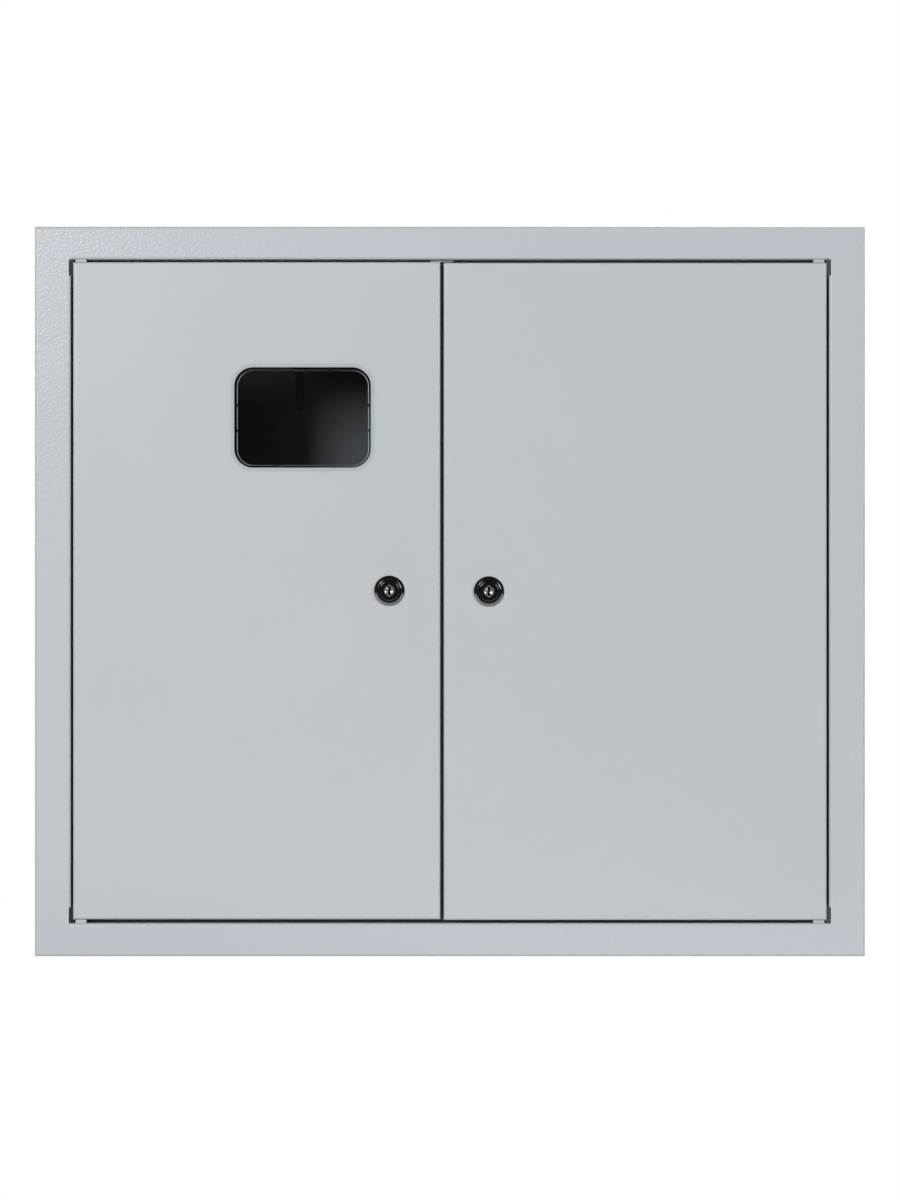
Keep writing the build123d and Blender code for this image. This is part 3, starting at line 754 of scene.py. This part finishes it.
plate_low, plate_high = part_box("meter_plate")
plate_z = (plate_low.z + PLATE_SCREW_DROP, plate_high.z - PLATE_SCREW_DROP)
plate_places = [(x, z) for x in bracket_x for z in plate_z]
grow("meter_plate_screws", along(plate_places, plate_low.y), screw, screw_sizes, "cabinet")

incoming_low, incoming_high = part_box("incoming_rail")
rail_places = [(x, middle(incoming_low, incoming_high).z) for x in bracket_x]
for row in range(1, 5):
    rail_z = middle(*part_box(f"device_rail_{row}")).z
    rail_places += [(x, rail_z) for x in upright_x]
rail_seat = incoming_high.y - RAIL_FLOOR
grow("rail_screws", along(rail_places, rail_seat), screw, screw_sizes, "cabinet")

post_low, post_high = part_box("cover_posts")
cover_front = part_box("cover")[0].y
post_z = (post_low.z + POST_HALF, post_high.z - POST_HALF)
cover_places = [(x, z) for x in upright_x for z in post_z]
grow("cover_screws", along(cover_places, cover_front), screw, screw_sizes, "cabinet")

# %% [markdown]
# Each terminal bar clamps its wires with small screws, and two larger ones hold the bar on its feet.
# The clamps are counted out from the middle of the bar at the pitch of its wire holes, so each one
# meets a hole.

# %% Screws of the terminal bars
TERMINALS = 7
TERMINAL_PITCH = 16 * MM
FOOT_INSET = 8 * MM

clamp_sizes = {
    **screw_sizes,
    "Head Radius": 2.5 * MM,
    "Head Height": 2.2 * MM,
    "Shank Radius": 1.6 * MM,
    "Seed": 8,
}
hold_sizes = {**screw_sizes, "Head Radius": 3.4 * MM, "Seed": 5}
for bar in ("neutral_bar", "earth_bar"):
    low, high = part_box(bar)
    centre = middle(low, high)
    steps = [number - (TERMINALS - 1) / 2 for number in range(TERMINALS)]
    clamps = [(centre.x + step * TERMINAL_PITCH, centre.z) for step in steps]
    grow(bar + "_clamps", along(clamps, low.y), screw, clamp_sizes, "cabinet")
    holds = [(x, centre.z) for x in (low.x + FOOT_INSET, high.x - FOOT_INSET)]
    grow(bar + "_screws", along(holds, low.y), screw, hold_sizes, "cabinet")

# %% [markdown]
# Behind the stop each frame screw ends in a nut on a washer. The nuts take the places of the screws
# and another depth, so that the two can't drift apart.

# %% Nuts of the frame
REAR = (math.radians(-90), 0.0, 0.0)
STOP_REAR = 19.988 * MM

nut_sizes = {
    "Across Flats": 7.0 * MM,
    "Nut Height": 3.2 * MM,
    "Nut Seat": 0.8 * MM,
    "Washer Radius": 4.5 * MM,
    "Screw Radius": 2.0 * MM,
    "Screw Reach": 6.0 * MM,
    "Facing": REAR,
    "Spin": math.pi,
    "Seed": 11,
    "Finish": finishes["zinc"],
}
stop_rear = rim_low.y + STOP_REAR
grow("frame_nuts", along(frame_places, stop_rear), nut, nut_sizes, "cabinet")

# %% [markdown]
# Each door has a welded earth stud near its hinge, with a nut that waits for its earth lead. The nut's
# recipe serves again, with a longer screw. The end of the stud stands out of its nut, so it gets a
# thread there.

# %% Earth studs of the doors
DOOR_STUD_INSET = 24 * MM
DOOR_STUD_RISE = 30 * MM
DOOR_SHEET = 1.2 * MM
STUD_THREAD_START = 6.8 * MM

stud_sizes = {
    **nut_sizes,
    "Across Flats": 10.0 * MM,
    "Nut Height": 5.0 * MM,
    "Nut Seat": 1.2 * MM,
    "Washer Radius": 6.2 * MM,
    "Screw Radius": 2.7 * MM,
    "Screw Reach": 13.0 * MM,
}
thread_sizes = {
    "Bar Radius": 2.7 * MM,
    "Ridge": 0.35 * MM,
    "Turns": 6.0,
    "Length": 5.6 * MM,
    "Facing": REAR,
    "Spin": math.pi,
    "Seed": 2,
    "Finish": finishes["zinc"],
}
inner_face = rim_low.y + DOOR_SHEET
thread_start = inner_face + STUD_THREAD_START
for door, side in (("left_door", -1), ("right_door", 1)):
    low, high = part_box(door)
    hinge = low.x if side < 0 else high.x
    place = [(hinge - side * DOOR_STUD_INSET, low.z + DOOR_STUD_RISE)]
    grow(door + "_earth_stud", along(place, inner_face), nut, stud_sizes, door)
    grow(door + "_stud_thread", along(place, thread_start), thread, thread_sizes, door)

# %% [markdown]
# The box has a larger earth stud of its own, which is in the model with its nut. It is a plain bar
# there, so only its thread is added here.

# %% Thread of the earth stud
EARTH_THREAD_START = 0.5 * MM

earth_low, earth_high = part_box("earth_stud")
earth = middle(earth_low, earth_high)
earth_thread_sizes = {
    **thread_sizes,
    "Bar Radius": 2.95 * MM,
    "Turns": 8.5,
    "Length": 8.5 * MM,
}
earth_place = along([(earth.x, earth.z)], earth_low.y + EARTH_THREAD_START)
grow("earth_stud_thread", earth_place, thread, earth_thread_sizes, "cabinet")

# %% [markdown]
# Every bracket and upright stands with its foot on the back of the box and is welded there in four
# places, spread evenly between its ends. A texture could paint the marks, but then the mesh alone
# would show none.

# %% Spot welds on the feet of the brackets
BRACKET_SHEET = 1.5 * MM
WELD_END = 20 * MM
WELDS = 4

weld_sizes = {
    "Mark Radius": 3.0 * MM,
    "Mark Height": 0.2 * MM,
    "Facing": FRONT,
    "Spin": math.pi,
    "Seed": 4,
    "Finish": finishes["zinc"],
}
weld_places = []
feet = [f"{kind}_{side}" for kind in ("meter_bracket", "rail_upright") for side in SIDES]
for foot in feet:
    low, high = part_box(foot)
    run = high.z - low.z - 2 * WELD_END
    for number in range(WELDS):
        rise = WELD_END + run * number / (WELDS - 1)
        weld_places.append((middle(low, high).x, low.z + rise))
weld_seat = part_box("meter_bracket_left")[1].y - BRACKET_SHEET
grow("bracket_welds", along(weld_places, weld_seat), weld, weld_sizes, "cabinet")

# %% [markdown]
# ## Edge of the window
#
# The window snaps into the door with a thin skirt behind its lens. The free edge of the skirt
# draws a fine line just inside the hole, broken where the skirt is slit. Its finish paints the
# line bright at the sides, as painted light, and dim above and below, as painted shade. The
# recipe draws the edge as a wire, deletes it at the slits and sweeps a small round along what
# is left.

# %% Recipe of the cut edge
CORNER_STEPS = 16
EDGE_STEPS = 420
ROUND_STEPS = 6


def cut_edge():
    """Recipe of a fine line along a rounded rectangle, with breaks."""
    sizes = ("Width", "Height", "Corner", "Line", "Slit", "Side Slit", "Tongue Slit")
    bench, given = start_recipe("cut_edge", sizes)
    sockets = {"Width": given["Width"], "Height": given["Height"]}
    path = bench.node("GeometryNodeCurvePrimitiveQuadrilateral", {}, sockets)
    sockets = {"Curve": path, "Count": CORNER_STEPS, "Radius": given["Corner"]}
    path = bench.node("GeometryNodeFilletCurve", {"mode": "POLY"}, sockets)
    path = bench.node("GeometryNodeResampleCurve", {}, {"Curve": path, "Count": EDGE_STEPS})
    wire = bench.node("GeometryNodeCurveToMesh", {}, {"Curve": path})
    spot = bench.node("GeometryNodeInputPosition")
    across = bench.node("ShaderNodeSeparateXYZ", {}, {0: spot})
    along_side = across.math("ABSOLUTE", across.other("Y"), 0.0)
    along_top = across.math("ABSOLUTE", across, 0.0)
    at_side = along_side.math("COMPARE", along_side, given["Side Slit"])
    at_top = along_top.math("COMPARE", along_top, given["Tongue Slit"])
    # The third socket of Compare is how near counts as equal
    for test in (at_side, at_top):
        bench.fill(test.socket.node.inputs[2], given["Slit"])
    broken = at_side.math("MAXIMUM", at_side, at_top)
    sockets = {"Geometry": wire, "Selection": broken}
    wire = bench.node("GeometryNodeDeleteGeometry", {"domain": "EDGE"}, sockets)
    pieces = bench.node("GeometryNodeMeshToCurve", {}, {"Mesh": wire})
    sockets = {"Resolution": ROUND_STEPS, "Radius": given["Line"]}
    profile = bench.node("GeometryNodeCurvePrimitiveCircle", {"mode": "RADIUS"}, sockets)
    sockets = {"Curve": pieces, "Profile Curve": profile, "Fill Caps": True}
    line = bench.node("GeometryNodeCurveToMesh", {}, sockets)
    return end_recipe(bench, given, line)


edge = cut_edge()

# %% [markdown]
# One finish paints the line pale at the sides, as painted light, and nearly as dark as what lies
# behind it above and below, as painted shade, and goes from the one to the other by the distance
# from the middle of the window. A scratch noise varies its tone a little and its roughness.

# %% Cut edge in its place
LIP = 2.8 * MM
SKIRT_INSIDE = 1.85 * MM
SKIRT_END = 7.6 * MM
HOLE_CORNER = 14.0 * MM
SIDE_SLIT = 9.5 * MM
TONGUE_SLIT = 20.0 * MM
SLIT_HALF = 1.2 * MM
EDGE_LINE = 0.28 * MM
# Tones of the painted shade and the painted light on the cut edge
SHADED_EDGE_TONE = (0.15, 0.16, 0.17)
LIT_SIDE_TONE = (0.84, 0.89, 0.92)
EDGE_GLOSS = 0.3
EDGE_ROUGHNESS = (0.35, 0.65)
SCRATCH_SCALE = 1500.0
SCRATCHED_SHARE = 0.75

window_low, window_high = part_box("window")
window_middle = middle(window_low, window_high)
inset = 2 * (LIP + SKIRT_INSIDE)
edge_width = window_high.x - window_low.x - inset
edge_height = window_high.z - window_low.z - inset
print("line inside the hole in mm:", round(edge_width / MM, 1), round(edge_height / MM, 1))


def frosted_edge_and_painted_light():
    """Edge of clear plastic, with painted light at its sides and painted shade above and below."""
    material, bench, bsdf = start_finish("frosted_edge_and_painted_light", {"Specular IOR Level": EDGE_GLOSS})
    place = object_place(bench)
    scratch = noise(bench, place, SCRATCH_SCALE)
    across = bench.node("ShaderNodeSeparateXYZ", {}, {0: place}) - window_middle.x
    off_centre = across.math("ABSOLUTE", across, 0.0)
    half = edge_width / 2
    limits = {"Value": off_centre, "From Min": half - HOLE_CORNER, "From Max": half}
    # Painted light: one at the sides of the window, nothing above and below
    painted_side_light = bench.node("ShaderNodeMapRange", {}, limits)
    tone = painted_side_light * between(scratch, SCRATCHED_SHARE, 1.0)
    bench.fill(bsdf.inputs["Base Color"], tint(bench, tone, SHADED_EDGE_TONE, LIT_SIDE_TONE))
    bench.fill(bsdf.inputs["Roughness"], between(scratch, *EDGE_ROUGHNESS))
    return material


edge_sizes = {
    "Width": edge_width,
    "Height": edge_height,
    "Corner": HOLE_CORNER - SKIRT_INSIDE,
    "Line": EDGE_LINE,
    "Slit": SLIT_HALF,
    "Side Slit": SIDE_SLIT,
    "Tongue Slit": TONGUE_SLIT,
    "Facing": FRONT,
    "Spin": 0.0,
    "Seed": 1,
    "Finish": frosted_edge_and_painted_light(),
}
edge_place = along([(window_middle.x, window_middle.z)], rim_low.y + SKIRT_END)
grow("window_cut_edge", edge_place, edge, edge_sizes, "left_door")

# %% [markdown]
# ## Locks
#
# Each lock is a turned black bezel on a threaded barrel with two flats, and a nickel plug turns in
# it. The model holds the form with square edges. Here the same profile is turned again with its
# thread and with its edges rounded off, because no turned edge is sharp and the narrow rounds
# catch the light. The thread is plain rings, which is enough for a barrel that only shows behind
# an open door. The sizes are in millimetres, and depths in front of the door are negative.

# %% Profile of a lock body
BORE = 3.96
BARREL = 8.0
BARREL_FLAT = 6.8
BEZEL = 11.3
BEZEL_EDGE = -0.7
RING_OUTER = 9.1
RING_INNER = 7.2
RING_TOP = -3.0
WELL = 7.0
WELL_MIDDLE = 4.6
WELL_FLOOR = -2.2
FLATS_FROM = 0.02
BEZEL_ROUND = 0.4
RING_OUTER_ROUND = 0.6
RING_INNER_ROUND = 0.45
WELL_ROUND = 0.15
FINE_ROUND = 0.1
THREAD_PITCH = 1.0
THREAD_DEPTH = 0.5
FIRST_CREST = 0.8


def lock_corners(barrel_end, nut_end):
    """Radius, depth and rounding of each corner, from the rear of the bore round to its front."""
    corners = [(BORE, barrel_end, 0.0), (BARREL - THREAD_DEPTH, barrel_end, 0.0)]
    ridges = int((barrel_end - nut_end - THREAD_PITCH) / THREAD_PITCH)
    for ridge in range(ridges):
        crest = barrel_end - THREAD_PITCH * (ridge + FIRST_CREST)
        corners.append((BARREL, crest, FINE_ROUND))
        corners.append((BARREL - THREAD_DEPTH, crest - THREAD_PITCH / 2, 0.0))
    corners += [(BARREL, nut_end, 0.0), (BARREL, FLATS_FROM, 0.0)]
    corners += [(BEZEL, 0.0, 0.0), (BEZEL, BEZEL_EDGE, BEZEL_ROUND)]
    corners += [(RING_OUTER, RING_TOP, RING_OUTER_ROUND), (RING_INNER, RING_TOP, RING_INNER_ROUND)]
    corners += [(WELL, WELL_FLOOR, WELL_ROUND), (WELL_MIDDLE, WELL_FLOOR, 0.0)]
    corners += [(BORE, WELL_FLOOR, FINE_ROUND)]
    return corners


def softened(corners, steps=6):
    """Points of a profile whose corners are rounded off."""
    points = []
    for number, (radius, depth, rounding) in enumerate(corners):
        here = Vector((radius, depth))
        before = Vector(corners[number - 1][:2])
        after = Vector(corners[(number + 1) % len(corners)][:2])
        start = here + (before - here).normalized() * rounding
        end = here + (after - here).normalized() * rounding
        for step in range(steps + 1) if rounding else [0]:
            share = step / steps
            points.append(start.lerp(here, share).lerp(here.lerp(end, share), share))
    return points


print("bezel in mm: across", 2 * BEZEL, "and standing out", -RING_TOP)

# %% [markdown]
# The photograph shows a bright arc at the upper left and the upper right of each raised ring, and a
# faint one below. Lamps that are mirrored in a round would move with the camera, so these arcs are
# painted on the mesh as highlights of bare metal, and the lower half of the bevel gets a painted
# reflection of bright surroundings below. The edge of the keyhole is worn by the key. Each point
# gets a value from its angle and its radius, and the black finish reads it. An arc is a middle and
# a half width in degrees, with the angle counted from the right and upwards.

# %% Painted highlights and wear on the black plating
# Arcs of painted highlight on the ring; the keyhole arcs are wear
LEFT_ARC = (136, 20)
RIGHT_ARC = (30, 22)
LOWER_ARC = (270, 80)
KEYHOLE_HEAD = (90, 16)
KEYHOLE_FOOT = (270, 20)
LEFT_HIGHLIGHT = {"inner": 1.8, "outer": 0.5}
RIGHT_HIGHLIGHT = {"inner": 1.1, "outer": 0.8}
LOWER_HIGHLIGHT = 0.2
BEVEL_REFLECTION = 0.3
KEYHOLE_WEAR = 0.5
INNER_EDGE = (RING_INNER, 0.3)
OUTER_EDGE = (RING_OUTER, 0.35)
KEYHOLE_EDGE = (BORE, 0.5)
BEVEL_FROM = 9.4
BEVEL_TO = 11.4
BEVEL_GAIN = 4.0
BEVEL_START = 0.4
HIGHLIGHT_AND_WEAR_IN_FRONT_OF = -0.2


def near(value, place, width):
    """One at a place, falling to nothing at a distance from it."""
    return max(0.0, 1 - abs(value - place) / width)


def painted_highlight_and_wear(radius, depth, angle):
    """How far the black gives way to bare metal: painted highlight arcs on the raised ring, a painted
    reflection on the bevel below and wear on the key's own edge.
    """
    if depth > HIGHLIGHT_AND_WEAR_IN_FRONT_OF:
        return 0.0
    turn = math.degrees(angle)
    left = near(turn, *LEFT_ARC)
    right = near(turn, *RIGHT_ARC)
    lower = LOWER_HIGHLIGHT * near(turn, *LOWER_ARC)
    # Painted highlights of the lamps on the raised ring
    inner_arcs = LEFT_HIGHLIGHT["inner"] * left + RIGHT_HIGHLIGHT["inner"] * right + lower
    outer_arcs = LEFT_HIGHLIGHT["outer"] * left + RIGHT_HIGHLIGHT["outer"] * right + lower
    ring = max(near(radius, *INNER_EDGE) * inner_arcs, near(radius, *OUTER_EDGE) * outer_arcs)
    # Painted reflection of bright surroundings on the lower half of the bevel
    below = max(0.0, min(1.0, -BEVEL_GAIN * math.sin(angle) - BEVEL_START))
    bevel = BEVEL_REFLECTION * below if BEVEL_FROM < radius < BEVEL_TO else 0.0
    ends = near(turn, *KEYHOLE_HEAD) + near(turn, *KEYHOLE_FOOT)
    keyhole = KEYHOLE_WEAR * near(radius, *KEYHOLE_EDGE) * ends
    return min(1.0, max(ring, bevel, keyhole))


# The print shows the painted highlight in the left arc
print("wear in the left arc:", painted_highlight_and_wear(RING_INNER, RING_TOP, math.radians(LEFT_ARC[0])))

# %% [markdown]
# Turning the profile could be left to a Screw modifier. It is done here point by point, because
# the barrel has two flats and every point needs its value of painted highlight and wear.

# %% Turn the profile
TURNS_AROUND = 96


def turned(profile, centre, flat):
    """Closed ring that a profile in millimetres makes about an axis along Y, with flats behind."""
    shape = bmesh.new()
    polish = shape.verts.layers.float.new("polish")
    rings = []
    for radius, depth in profile:
        ring = []
        for step in range(TURNS_AROUND):
            angle = math.tau * step / TURNS_AROUND
            x = radius * math.cos(angle)
            if depth > 0:
                x = max(-flat, min(flat, x))
            place = Vector((x, depth, radius * math.sin(angle))) * MM
            ring.append(shape.verts.new(centre + place))
            # Each point stores its painted highlight, painted reflection or keyhole wear
            ring[-1][polish] = painted_highlight_and_wear(radius, depth, angle)
        rings.append(ring)
    for ring, following in zip(rings, rings[1:] + rings[:1]):
        for step in range(TURNS_AROUND):
            after = (step + 1) % TURNS_AROUND
            shape.faces.new((ring[step], ring[after], following[after], following[step]))
    bmesh.ops.recalc_face_normals(shape, faces=shape.faces)
    mesh = bpy.data.meshes.new("turned")
    shape.to_mesh(mesh)
    shape.free()
    return mesh


# %% [markdown]
# Each body takes the place of the square-edged one of the model, and rides on its door. The end of
# its barrel and the place of its nut are read from the model, so the thread stops at the nut.

# %% Lock bodies in their places
BEZEL_SHARP_ANGLE = 40.0

lock_centres = {}
for side in SIDES:
    low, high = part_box(f"{side}_lock_body")
    centre = middle(low, high)
    lock_centres[side] = Vector((centre.x, rim_low.y, centre.z))
    nut_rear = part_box(f"{side}_lock_nut")[1].y
    corners = lock_corners((high.y - rim_low.y) / MM, (nut_rear - rim_low.y) / MM)
    mesh = turned(softened(corners), lock_centres[side], BARREL_FLAT)
    mesh.materials.append(finishes["black"])
    body = plain_object(f"{side}_lock_bezel", mesh, f"{side}_door", BEZEL_SHARP_ANGLE)
    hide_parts(f"{side}_lock_body")

# %% [markdown]
# The plug's face is dished, so that the key finds its slot, and the dish gathers the light of the
# two lamps into two bright spots. It is a bar with a ball and a flat block taken out of it, much
# as it is milled.

# %% Recipe of a plug
PLUG_STEPS = 64


def dished_plug():
    """Recipe of a lock plug with a dished face, a keyway and a square tail."""
    sizes = ("Plug Radius", "Plug Length", "Ball Radius", "Dish Depth")
    key_sizes = ("Key Width", "Key Height", "Key Depth")
    bench, given = start_recipe("dished_plug", sizes + key_sizes + ("Tail Width", "Tail Length"))
    length = given["Plug Length"]
    sockets = {"Vertices": PLUG_STEPS, "Radius": given["Plug Radius"], "Depth": length}
    bar = lifted(bench, bench.node("GeometryNodeMeshCylinder", {}, sockets), length * -0.5)
    sockets = {"Segments": PLUG_STEPS, "Rings": PLUG_STEPS, "Radius": given["Ball Radius"]}
    ball = bench.node("GeometryNodeMeshUVSphere", {}, sockets)
    ball = lifted(bench, ball, given["Ball Radius"] - given["Dish Depth"])
    box_size = triple(bench, given["Key Width"], given["Key Height"], given["Key Depth"] * 2)
    key = bench.node("GeometryNodeMeshCube", {}, {"Size": box_size})
    cut = {"operation": "DIFFERENCE", "solver": "MANIFOLD"}
    plug = bench.node("GeometryNodeMeshBoolean", cut, {0: bar, 1: [ball, key]})
    box_size = triple(bench, given["Tail Width"], given["Tail Width"], given["Tail Length"] * 2)
    tail = bench.node("GeometryNodeMeshCube", {}, {"Size": box_size})
    tail = lifted(bench, tail, length * -1)
    plug = bench.node("GeometryNodeJoinGeometry", {}, {"Geometry": [plug, tail]})
    return end_recipe(bench, given, plug)


plug = dished_plug()

# %% [markdown]
# The plug reaches from the floor of the bezel's well to the cam behind the door, and its square
# tail carries the cam. A hexagon screw holds the cam on the tail.

# %% Plugs and cam screws in their places
PLUG_FACE = WELL_FLOOR
DISH_DEPTH = 1.1

cam_low, cam_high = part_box("left_lock_cam")
plug_sizes = {
    "Plug Radius": 3.9 * MM,
    "Plug Length": cam_low.y - rim_low.y - PLUG_FACE * MM,
    "Ball Radius": 6.2 * MM,
    "Dish Depth": DISH_DEPTH * MM,
    "Key Width": 1.9 * MM,
    "Key Height": 6.6 * MM,
    "Key Depth": 9.0 * MM,
    "Tail Width": 4.2 * MM,
    "Tail Length": cam_high.y - cam_low.y,
    "Facing": FRONT,
    "Spin": 0.0,
    "Seed": 1,
    "Finish": shaded_nickel,
}
cam_screw_sizes = {
    "Across Flats": 8.0 * MM,
    "Nut Height": 3.0 * MM,
    "Nut Seat": 0.8 * MM,
    "Washer Radius": 5.5 * MM,
    "Screw Radius": 2.0 * MM,
    "Screw Reach": 4.6 * MM,
    "Facing": REAR,
    "Spin": math.pi,
    "Seed": 6,
    "Finish": finishes["zinc"],
}
for side, centre in lock_centres.items():
    face = along([(centre.x, centre.z)], centre.y + PLUG_FACE * MM)
    piece = grow(f"{side}_plug", face, plug, plug_sizes, f"{side}_lock")
    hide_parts(f"{side}_lock_plug")
    tail = along([(centre.x, centre.z)], cam_high.y)
    grow(f"{side}_cam_screw", tail, nut, cam_screw_sizes, f"{side}_lock")

# %% [markdown]
# A sprung black flap closes the keyway just behind the face and keeps dust out. It is a thin block
# with its edges rounded, so it needs no recipe, and it turns with its plug.

# %% Flap in the keyway
FLAP_SIZE = Vector((1.86, 0.5, 6.5)) * MM
FLAP_ROUND = 0.12 * MM
FLAP_BEHIND_DISH = 0.6
FLAP_DEPTH = (PLUG_FACE + DISH_DEPTH + FLAP_BEHIND_DISH) * MM


def keyway_flap(centre):
    """Thin flap with rounded edges that fills the keyway behind the dish."""
    shape = bmesh.new()
    bmesh.ops.create_cube(shape, size=1.0)
    bmesh.ops.scale(shape, verts=shape.verts, vec=FLAP_SIZE)
    bmesh.ops.bevel(shape, geom=shape.edges, offset=FLAP_ROUND, segments=2, affect="EDGES")
    place = centre + Vector((0, FLAP_DEPTH, 0))
    bmesh.ops.translate(shape, verts=shape.verts, vec=place)
    mesh = bpy.data.meshes.new("flap")
    shape.to_mesh(mesh)
    shape.free()
    mesh.materials.append(finishes["black"])
    return mesh


for side, centre in lock_centres.items():
    plain_object(f"{side}_keyway_flap", keyway_flap(centre), f"{side}_lock")

# %% [markdown]
# ## Studio
#
# The photograph is a straight front view from about three metres with a long lens, so the camera
# looks along the depth and its lens follows from the height that it has to take in.

# %% Camera
CAMERA_DISTANCE = 3.0
VIEW_HEIGHT = 0.896
VIEW_CENTRE = (0.0001, -0.0064)
SENSOR = 36.0

camera = bpy.data.cameras.new("front_camera")
camera.sensor_width = SENSOR
camera.lens = SENSOR * CAMERA_DISTANCE / VIEW_HEIGHT
camera_object = bpy.data.objects.new("front_camera", camera)
camera_object.location = (VIEW_CENTRE[0], rim_low.y - CAMERA_DISTANCE, VIEW_CENTRE[1])
camera_object.rotation_euler = (math.radians(90), 0, 0)
bpy.context.scene.collection.objects.link(camera_object)
bpy.context.scene.camera = camera_object
print("lens in mm:", round(camera.lens, 1))

# %% [markdown]
# Two large soft lamps stand in front, as for a picture in a catalogue, and a weak one below lifts
# the lower edges. A small one at the upper left shows only in gloss and brings out the skin of
# the coat on that corner of the frame. One behind serves the views from the rear.

# %% Lamps


def soft_lamp(name, place, width, height, power):
    """Rectangular lamp that looks at the middle of the doors."""
    lamp = bpy.data.lights.new(name, "AREA")
    lamp.shape = "RECTANGLE"
    lamp.size = width
    lamp.size_y = height
    lamp.energy = power
    holder = bpy.data.objects.new(name, lamp)
    holder.location = place
    aim = Vector((0, rim_low.y, 0)) - Vector(place)
    holder.rotation_euler = aim.to_track_quat("-Z", "Y").to_euler()
    bpy.context.scene.collection.objects.link(holder)
    print(name, "in watts:", power)
    return holder


soft_lamp("left_softbox", place=(-2.4, -3.6, 1.2), width=1.0, height=1.6, power=134.0)
soft_lamp("right_softbox", place=(4.2, -3.2, 1.2), width=1.0, height=1.6, power=110.0)
soft_lamp("low_fill", place=(2.0, -3.4, -2.2), width=1.4, height=0.8, power=34.0)
glance = soft_lamp("corner_glance", place=(-1.14, -3.6, 0.99), width=0.15, height=0.15, power=46.0)
glance.visible_diffuse = False
soft_lamp("back_softbox", place=(1.2, 3.6, 2.2), width=1.8, height=1.8, power=110.0)

# %% [markdown]
# The background is white for rays that come from the camera, from gloss and through the window,
# and nearly dark for the light that falls on the paint, so the lamps alone shape the object.

# %% World
AMBIENT = 0.06
WHITE = (1, 1, 1, 1)

world = bpy.data.worlds.new("white_studio")
world.use_nodes = True
world.node_tree.nodes.clear()
bench = Bench(world.node_tree)
seen = bench.node("ShaderNodeLightPath", output="Is Camera Ray")
shown = seen.math("MAXIMUM", seen, seen.other("Is Glossy Ray"))
shown = shown.math("MAXIMUM", shown, seen.other("Is Transmission Ray"))
scattered = seen.other("Diffuse Depth")
shown = shown * (1 - scattered.math("MINIMUM", scattered, 1.0))
glow = bench.node("ShaderNodeBackground", {}, {"Color": WHITE, "Strength": AMBIENT})
white = bench.node("ShaderNodeBackground", {}, {"Color": WHITE, "Strength": 1.0})
mixed = bench.node("ShaderNodeMixShader", {}, {0: shown, 1: glow, 2: white})
bench.node("ShaderNodeOutputWorld", {}, {"Surface": mixed})
bpy.context.scene.world = world
bpy.context.scene.view_settings.view_transform = "Standard"
print("light from the background:", AMBIENT, "nodes:", len(world.node_tree.nodes))

# %% [markdown]
# The cabinet hangs free, because its wall isn't part of it. The floor is a pale disc well below, out
# of the front view, so that views from above have something under them.

# %% Floor
FLOOR_DROP = 0.32
FLOOR_RADIUS = 0.62
FLOOR_CENTRE_Y = -0.08
FLOOR_DARK = (0.83, 0.83, 0.83)
FLOOR_LIGHT = (0.86, 0.86, 0.86)
SPECK_SCALE = 12.0

floor_material, bench, floor_bsdf = start_finish("pale_floor", {"Roughness": 0.7})
speck = noise(bench, object_place(bench), SPECK_SCALE)
bench.fill(floor_bsdf.inputs["Base Color"], tint(bench, speck, FLOOR_DARK, FLOOR_LIGHT))
floor_mesh = bpy.data.meshes.new("floor")
shape = bmesh.new()
bmesh.ops.create_circle(shape, cap_ends=True, segments=96, radius=FLOOR_RADIUS)
floor_place = (0, FLOOR_CENTRE_Y, rim_low.z - FLOOR_DROP)
bmesh.ops.translate(shape, verts=shape.verts, vec=floor_place)
shape.to_mesh(floor_mesh)
shape.free()
floor_mesh.materials.append(floor_material)
floor = bpy.data.objects.new("floor", floor_mesh)
bpy.context.scene.collection.objects.link(floor)
floor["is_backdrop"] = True
print("floor in m: radius", FLOOR_RADIUS, "height", round(floor_place[2], 3))

# %% [markdown]
# ## Last look at the size
#
# Dressing must not make the object bigger, so the box of the bare model and the box of the finished
# one are written down side by side.

# %% Sizes before and after
new_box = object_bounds()
new_size = Vector(new_box[1]) - Vector(new_box[0])
print("finished size in mm:", [round(value / MM, 1) for value in new_size])
